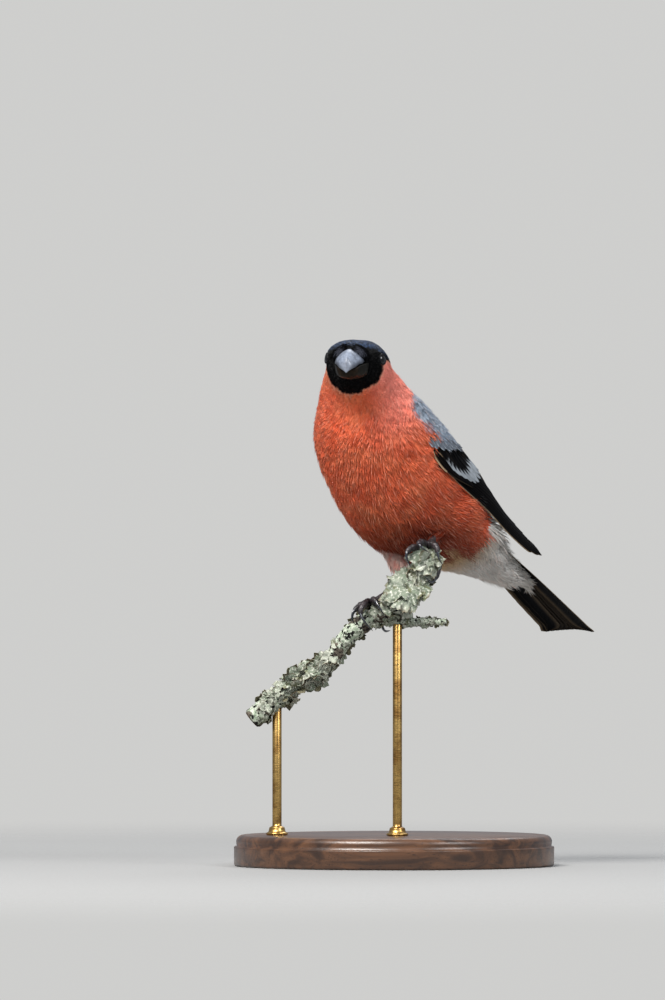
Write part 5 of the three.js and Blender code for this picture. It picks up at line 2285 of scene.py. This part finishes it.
@dataclass
class Perch:
    """The cut, lichened branch with its twig."""

    scatter: Scatter
    path: Table = ((11.3, -15.8, 101.4), (8.6, -15, 92.8), (1.8, -13, 84.4), (-7.6, -10.5, 80.2),
                   (-14.5, -8.6, 75), (-21.5, -6.8, 66), (-34, -4.6, 57.4), (-46, -3, 47.6))
    radii: Numbers = (2.5, 2.9, 3.2, 3.1, 2.7, 2.7, 3.1, 3.5)
    twig_path: Table = ((-3.2, -12, 80.4), (1.8, -12.5, 79.4), (8.3, -13, 79.2), (17, -14, 79.2))
    twig_radii: Numbers = (1.9, 1.5, 1.2, 1.0)
    broad: tuple[Fan, ...] = (
        Fan((10.6, -17.0, 99.6), (4.9, -18.8, 101.0), (-0.3, -1, 0.3), 1.2),
        Fan((10.6, -17.4, 99.8), (6.0, -19.4, 96.2), (-0.1, -1, 0.4), 1.0),
        Fan((11.2, -16.4, 100.4), (15.4, -18.0, 98.0), (0.4, -1, 0.4), 1.2),
        Fan((10.8, -16.4, 98.6), (13.2, -18.0, 94.6), (0.3, -1, 0.2), 1.1),
        Fan((5.0, -17.6, 91.4), (-3.0, -19.8, 88.6), (-0.3, -1, 0.35), 0.9),
        Fan((4.6, -17.6, 91.0), (-2.0, -20.0, 83.8), (-0.2, -1, 0.3), 0.8),
        Fan((5.2, -17.6, 91.0), (3.2, -20.2, 82.6), (0.0, -1, 0.25), 0.75),
        Fan((5.8, -16.8, 92.0), (9.4, -19.0, 85.8), (0.3, -1, 0.2), 0.8),
        Fan((6.2, -16.8, 93.0), (12.0, -18.4, 89.0), (0.5, -1, 0.2), 0.85),
        Fan((4.6, -15.6, 91.4), (-0.6, -16.2, 95.0), (-0.4, -1, 0.3), 0.9),
        Fan((6.8, -16.6, 95.0), (11.0, -17.6, 92.4), (0.5, -1, 0.3), 0.9))
    patches: tuple[LichenPatch, ...] = (
        LichenPatch("lichen_tip", 0.03, 0.16, 4.8, 5, 0.14, 0.6, 3.0),
        LichenPatch("lichen_clump", 0.172, 0.305, 6.6, 5, 0.17, 0.2, 2.9, 0.55),
        LichenPatch("lichen_low", 0.62, 0.86, 4.9, 5, 0.14, 1.4, 3.2))

    def wood(self, path: Table, radii: Numbers, rows: int, cols: int, blunt: float) -> Array:
        """Rings of a knobbly length of wood.

        Args:
            path: Points of its axis.
            radii: Radii along it.
            rows: Rows along it.
            cols: Points round it.
            blunt: Share of the radius left at its ends.
        Returns:
            The rings.
        """
        curve = Curve(path)
        share = np.linspace(0, 1, rows)
        radius = Spline(np.linspace(0, 1, len(radii)), radii)(share)
        radius = radius * np.interp(share * curve.length, (0, 0.4, curve.length - 0.4, curve.length),
                                    (blunt, 1, 1, blunt))
        rings = swept(curve, share, radius, cols)
        centre = rings.mean(1, keepdims=True)
        swell = 0.07 * Ripple(3, 9.0)(rings) + 0.05 * Ripple(4, 2.6)(rings) + 0.03 * Ripple(5, 1.1)(rings)
        swell = swell * smooth(np.minimum(share, 1 - share), 0, 0.02)[:, None]
        return centre + (rings - centre) * (1 + swell)[..., None]

    def sleeve(self, patch: LichenPatch, rows: int = 54, cols: int = 84) -> Array:
        """Rings of the lichen's body round the branch.

        Args:
            patch: The stretch.
            rows: Rows along it.
            cols: Points round it.
        Returns:
            The rings.
        """
        curve = Curve(self.path)
        share = np.linspace(0, 1, rows)[:, None]
        a = turns(cols)[None]
        swell = 0.62 + 0.38 * np.sin(np.pi * (0.08 + 0.84 * share))
        wave = np.sin(patch.lobes * a + patch.turn + 3 * share)
        wave = wave + 0.5 * np.sin((2 * patch.lobes + 1) * a - 5 * share)
        flat = 1 - patch.squat * smooth(-np.sin(a), -0.3, 0.8)
        radius = (patch.radius - 1.8) * swell * (1 + patch.size * wave) * flat
        rings = swept(curve, patch.start + (patch.end - patch.start) * share[:, 0], radius, cols)
        centre = rings.mean(1, keepdims=True)
        folds = 0.05 * Ripple(8, 3.4)(rings) + 0.04 * Ripple(9, 1.5)(rings)
        return centre + (rings - centre) * (1 + folds)[..., None]

    def crown(self) -> Array:
        """Rings of the small mound of lichen on the branch's upper end, between the toes."""
        r, a = crossed(np.linspace(0.05, 1, 16), turns(40))
        centre, side, over = Curve(self.path).frames(np.array((0.0, 0.02)))
        ahead = unit(centre[0] - centre[1])
        points = along_axis(centre[0], ahead, side[0], over[0], 1.5 * (1 - r ** 2) - 0.4, 2.5 * r, a)
        return points + ahead * 0.25 * Ripple(33, 1.6)(points)[..., None]

    def host(self, name: str, rings: Array, leaf: float, grown: Array, seed: int) -> Object:
        """A surface with the attributes that the scatter reads.

        Args:
            name: The piece's name.
            rings: Rows by columns of points.
            leaf: Length of its lobes in millimetres.
            grown: Share of the lobes that grow at each point.
            seed: Seed of the directions they lean in.
        Returns:
            The object.
        """
        up = grid_normals(rings)
        along = unit(np.gradient(rings, axis=0))
        aside = np.cross(up, along)
        turn = math.pi * 1.3 * Ripple(seed, 7.0)(rings)
        lie = along * np.cos(turn)[..., None] + aside * np.sin(turn)[..., None]
        layers = {"root_up": up.reshape(-1, 3), "lie": lie.reshape(-1, 3), "density": grown.ravel(),
                  "length": (leaf * (1 + 0.3 * Ripple(seed + 1, 5.0)(rings)) * MM).ravel()}
        points, faces, uv = tube_shell(rings)
        rows, cols = rings.shape[:2]
        quads = faces[:(rows - 1) * cols]
        return mesh_object(name, points[:-2], quads, uv[:4 * len(quads)], layers)

    @staticmethod
    def clear(rings: Array) -> Array:
        """Share of the lobes that the gripping toes leave free.

        Args:
            rings: Points of the surface.
        Returns:
            A share for each point.
        """
        toes = np.vstack([Curve([foot.ankle, *toe], 8).points for foot in FEET for toe in foot.toes])
        near = np.full(rings.shape[:2], 99.0)
        for point in toes:
            near = np.minimum(near, np.linalg.norm(rings - point, axis=-1))
        return smooth(near, 1.6, 3.4)

    @staticmethod
    def body(name: str, slot: str, rings: Array, material: Material, *replaced: str) -> None:
        """A closed piece from rings."""
        parts = Parts().add(*tube_shell(rings), along=0.15, barb=0.0, tuft=0.5)
        place(parts.build(name, material), slot, *replaced)

    def cut_face(self) -> None:
        """The sawn lower end, with its growth rings."""
        curve = Curve(self.path)
        centre, side, over = curve.frames(np.array((0.995, 1.0)))
        ahead = unit(centre[1] - centre[0])
        r, a = crossed(np.linspace(0.02, 1, 26), turns(48))
        dish = 0.25 * (1 - r ** 2) * 0.4 + 0.05 * np.sin(r * 30)
        points = along_axis(centre[1], ahead, side[1], over[1], 0.22 - dish, r * 3.0, a)
        back = points - ahead * 0.4
        radial = np.append(np.append(r.ravel(), np.ones(48)), (0, 1))
        parts = Parts().add(*tube_shell(np.concatenate([points, back[-1:]])), along=radial)
        place(parts.build("perch_cut_end", SawnWood().material()), "bark")

    def build(self) -> None:
        """Wood, lichen bodies and the lobes over both."""
        bark, thallus = Bark().material(), Lichen().material()
        branch = self.wood(self.path, self.radii, 260, 56, 0.9)
        twig = self.wood(self.twig_path, self.twig_radii, 110, 36, 0.6)
        self.body("perch_wood", "bark", branch, bark, "perch_branch")
        self.body("perch_twig", "bark", twig, bark)
        self.cut_face()
        mound = self.crown()
        below = mound[-1:] - unit(mound[0].mean(0) - mound[-1].mean(0)) * 0.8
        self.body("lichen_mound", "lichen", np.concatenate([mound, below]), thallus)
        leaves = LeafMaker(19)
        lobes = leaves.collection()
        leaves.fans("lichen_fans", self.broad, thallus)
        where = np.linspace(0, 1, 260)[:, None]
        patchy = smooth(Ripple(21, 12.0)(branch), -0.5, 0.3)
        free = smooth(where, 0.03, 0.06) * smooth(where, 0.985, 0.95)
        hosts = [("lichen_on_branch", branch, 1.9, patchy * free, 1.1),
                 ("lichen_on_twig", twig, 1.15, smooth(Ripple(22, 2.2)(twig), -0.2, 0.3), 0.72),
                 ("lichen_on_mound", mound, 2.0, np.ones(mound.shape[:2]), 0.9)]
        for patch in self.patches:
            rings = self.sleeve(patch)
            self.body(patch.name + "_body", "lichen", rings, thallus, "perch_" + patch.name)
            grown = 1 - 1.6 * patch.squat * smooth(-grid_normals(rings)[..., 2], 0.1, 0.6)
            hosts.append((patch.name + "_lobes", rings, patch.leaf, grown, 1.35))
        for number, (name, rings, leaf, grown, spacing) in enumerate(hosts):
            piece = self.host(name, rings, leaf, grown * self.clear(rings), 70 + 3 * number)
            self.scatter.run(piece, Tufts=lobes, Spacing=spacing * MM, Lift=0.55, Stray=0.8, Patch=0.02,
                             Seed=500 + number, Finish=thallus)
            place(piece, "lichen")


# the stand
class Walnut(Finish):
    """Dark oiled wood with its grain along X."""

    name = "walnut"
    plain = {"Specular IOR Level": 0.5, "Coat Weight": 0.2, "Coat Roughness": 0.25}

    def wire(self, w: Wiring) -> Sockets:
        """Broad grain with fine pores in it.

        Args:
            w: The material's wiring.
        Returns:
            The shader's sockets.
        """
        grain, pore = w.streaks((14.0, 190.0, 190.0), 6.0, 1.2), w.streaks((260.0, 3200.0, 3200.0), 2.0)
        base = w.mix(w.step(grain, 0.32, 0.68), (50, 32, 22), (96, 64, 42))
        base = w.mix(w.step(pore, 0.6, 0.72), base, (30, 18, 12))
        return {"Base Color": base, "Roughness": w.step(pore, 0.4, 0.7, 0.3, 0.46),
                "Normal": w.bump(pore, 0.00006, 0.4)}


class Brass(Finish):
    """Brushed brass, a little dulled."""

    name = "brass"
    plain = {"Metallic": 1.0}

    def wire(self, w: Wiring) -> Sockets:
        """Fine scratches round the rods, and dull patches.

        Args:
            w: The material's wiring.
        Returns:
            The shader's sockets.
        """
        brush = w.streaks((600.0, 600.0, 5200.0), 3.0)
        base = w.mix(w.step(w.noise(240.0), 0.4, 0.7), (196, 160, 96), (150, 112, 62))
        return {"Base Color": base, "Roughness": w.step(brush, 0.3, 0.7, 0.24, 0.42),
                "Normal": w.bump(brush, 0.00003, 0.3)}


@dataclass
class Stand:
    """A turned base and two rods in ferrules."""

    radius: float = 52.0
    height: float = 10.0
    rods: tuple[tuple[str, tuple[float, float], float], ...] = (
        ("stand_rod_high", (1.0, -12.8), 78.6), ("stand_rod_low", (-38.0, -4.0), 51.6))

    def turned(self, name: str, slot: str, profile: Sequence[Sequence[float]], cols: int,
               centre: tuple[float, float], material: Material) -> None:
        """A turned piece that replaces the node of its name.

        Args:
            name: The node's name.
            slot: Its finish's slot.
            profile: Radius and height pairs from the bottom up.
            cols: Points round it.
            centre: X and Y of its axis.
            material: Its finish.
        """
        r, z = np.array(profile, float).T
        a = turns(cols)
        rings = np.stack([centre[0] + r[:, None] * np.cos(a), centre[1] + r[:, None] * np.sin(a),
                          z[:, None] + 0 * a], -1)
        place(Parts().add(*tube_shell(rings)).build(name + "_turned", material), slot, name)

    def arc(self, r: float, z: float, radius: float, start: float, end: float, steps: int = 7) -> list:
        """Points of a round moulding in the profile."""
        return [(r + radius * math.cos(a), z + radius * math.sin(a))
                for a in np.radians(np.linspace(start, end, steps))]

    def build(self) -> None:
        """Base, then rods."""
        top, wide = self.height, self.radius
        profile = [(0.5, 0.0), (wide - 1.0, 0.0), *self.arc(wide - 0.8, 0.8, 0.8, -80, 0, 5),
                   (wide, top - 4.4), *self.arc(wide - 0.35, top - 4.05, 0.35, 0, 90, 4),
                   (wide - 0.9, top - 3.5), *self.arc(wide - 2.9, top - 2.2, 2.2, 0, 90, 9),
                   (wide - 5.0, top), (wide - 5.5, top - 0.25), (wide - 6.0, top), (20.0, top), (0.5, top)]
        self.turned("stand_base", "plinth", profile, 144, (0.0, 0.0), Walnut().material())
        metal = Brass().material()
        for name, centre, end in self.rods:
            foot = self.height + 0.05
            profile = [(0.1, foot), (3.3, foot), *self.arc(3.2, foot + 0.45, 0.4, -80, 80, 6),
                       (2.8, foot + 1.1), (2.6, foot + 1.9), *self.arc(2.2, foot + 2.3, 0.3, 0, 90, 4),
                       (1.5, foot + 3.0), (1.5, foot + 4.0), (1.5, end - 0.3), (1.3, end), (0.1, end)]
            self.turned(name, "brass", profile, 40, centre, metal)


# the studio
FLOOR_REACH = 620.0


class PaleFloor(Finish):
    """Plain pale matt, clear towards its edge."""

    name = "pale_floor"
    plain = {"Roughness": 0.8}

    def wire(self, w: Wiring) -> Sockets:
        """Fine specks, and the fade.

        Args:
            w: The material's wiring.
        Returns:
            The shader's sockets.
        """
        reach = w.node("ShaderNodeVectorMath", {0: w.where()}, operation="LENGTH").outputs["Value"]
        speck = w.step(w.noise(900.0), 0.3, 0.7)
        return {"Alpha": w.step(reach, 0.14, FLOOR_REACH * MM * 0.97, 1.0, 0.0),
                "Base Color": w.mix(speck, (0.27, 0.27, 0.267, 1), (0.30, 0.30, 0.297, 1))}


class Studio:
    """Camera, lights, floor and the pale surround."""

    CAMERA = (-20.0, -4026.0, 118.7)
    LENS = 446.4

    def camera(self) -> None:
        """A level camera at the photograph's place."""
        data = bpy.data.cameras.new("camera")
        data.sensor_width, data.lens = 36.0, self.LENS
        data.clip_start, data.clip_end = 0.1, 50.0
        camera = bpy.data.objects.new("camera", data)
        camera.location = [c * MM for c in self.CAMERA]
        camera.rotation_euler = (math.pi / 2, 0, 0)
        bpy.context.scene.collection.objects.link(camera)
        bpy.context.scene.camera = camera

    def lamp(self, name: str, azimuth: float, elevation: float, far: float, size: float, power: float,
             tint: Triple) -> None:
        """A soft box looking at the bird.

        Args:
            name: Its name.
            azimuth: Degrees round from the front.
            elevation: Degrees up.
            far: Distance in metres.
            size: Its width in metres.
            power: Its power.
            tint: Its linear colour.
        """
        data = bpy.data.lights.new(name, "AREA")
        data.shape, data.size, data.energy, data.color = "DISK", size, power, tint
        lamp = bpy.data.objects.new(name, data)
        a, e = math.radians(azimuth), math.radians(elevation)
        out = np.array((math.sin(a) * math.cos(e), -math.cos(a) * math.cos(e), math.sin(e)))
        aim = np.array((0.0, 0.0, 0.12))
        lamp.location = aim + out * far
        lamp.rotation_euler = Vector(-out).to_track_quat("-Z", "Y").to_euler()
        bpy.context.scene.collection.objects.link(lamp)

    def world(self) -> None:
        """A plain pale surround, dimmer as a light than as a backdrop."""
        world = bpy.data.worlds.new("surround")
        world.use_nodes = True
        w = Wiring(world.node_tree)
        seen = w.node("ShaderNodeLightPath").outputs["Is Camera Ray"]
        node = world.node_tree.nodes["Background"]
        pale = w.mix(seen, (0.30, 0.32, 0.35, 1), (0.62, 0.62, 0.61, 1))
        world.node_tree.links.new(pale, node.inputs["Color"])
        node.inputs["Strength"].default_value = 1.0
        bpy.context.scene.world = world

    def floor(self) -> None:
        """A round pale floor that fades out at its edge."""
        rings, cols = 24, 96
        r, a = crossed(np.linspace(1, FLOOR_REACH, rings), turns(cols))
        points = np.stack([r * np.cos(a), r * np.sin(a), 0 * r - 0.05], -1).reshape(-1, 3)
        disc = mesh_object("floor", points, [tuple(f[::-1]) for f in grid_faces(rings, cols)])
        disc.data.materials.append(PaleFloor().material())

    def build(self) -> None:
        """Everything round the object."""
        self.camera()
        self.world()
        self.floor()
        self.lamp("key", -34, 50, 1.3, 0.7, 31.0, (1.0, 0.98, 0.95))
        self.lamp("fill", 48, 34, 1.6, 0.7, 12.0, (0.96, 0.98, 1.0))
        self.lamp("back", 165, 48, 1.5, 1.0, 9.0, (0.97, 0.98, 1.0))
        bpy.context.scene.view_settings.view_transform = "Standard"


def main() -> None:
    """Builds the scene in order."""
    logging.basicConfig(level=logging.INFO, format="%(name)s: %(message)s")
    Studio().build()
    scatter = Scatter()
    Plumage(scatter).build()
    finishes = wing_finishes()
    for side in Side:
        Wing(side, finishes).build()
    Tail().build()
    Bill().build()
    Eyes().build()
    skin, horn = ScalySkin().material(), ClawHorn().material()
    for foot in FEET:
        foot.build(skin, horn)
    Perch(scatter).build()
    Stand().build()


if __name__ == "__main__":
    main()
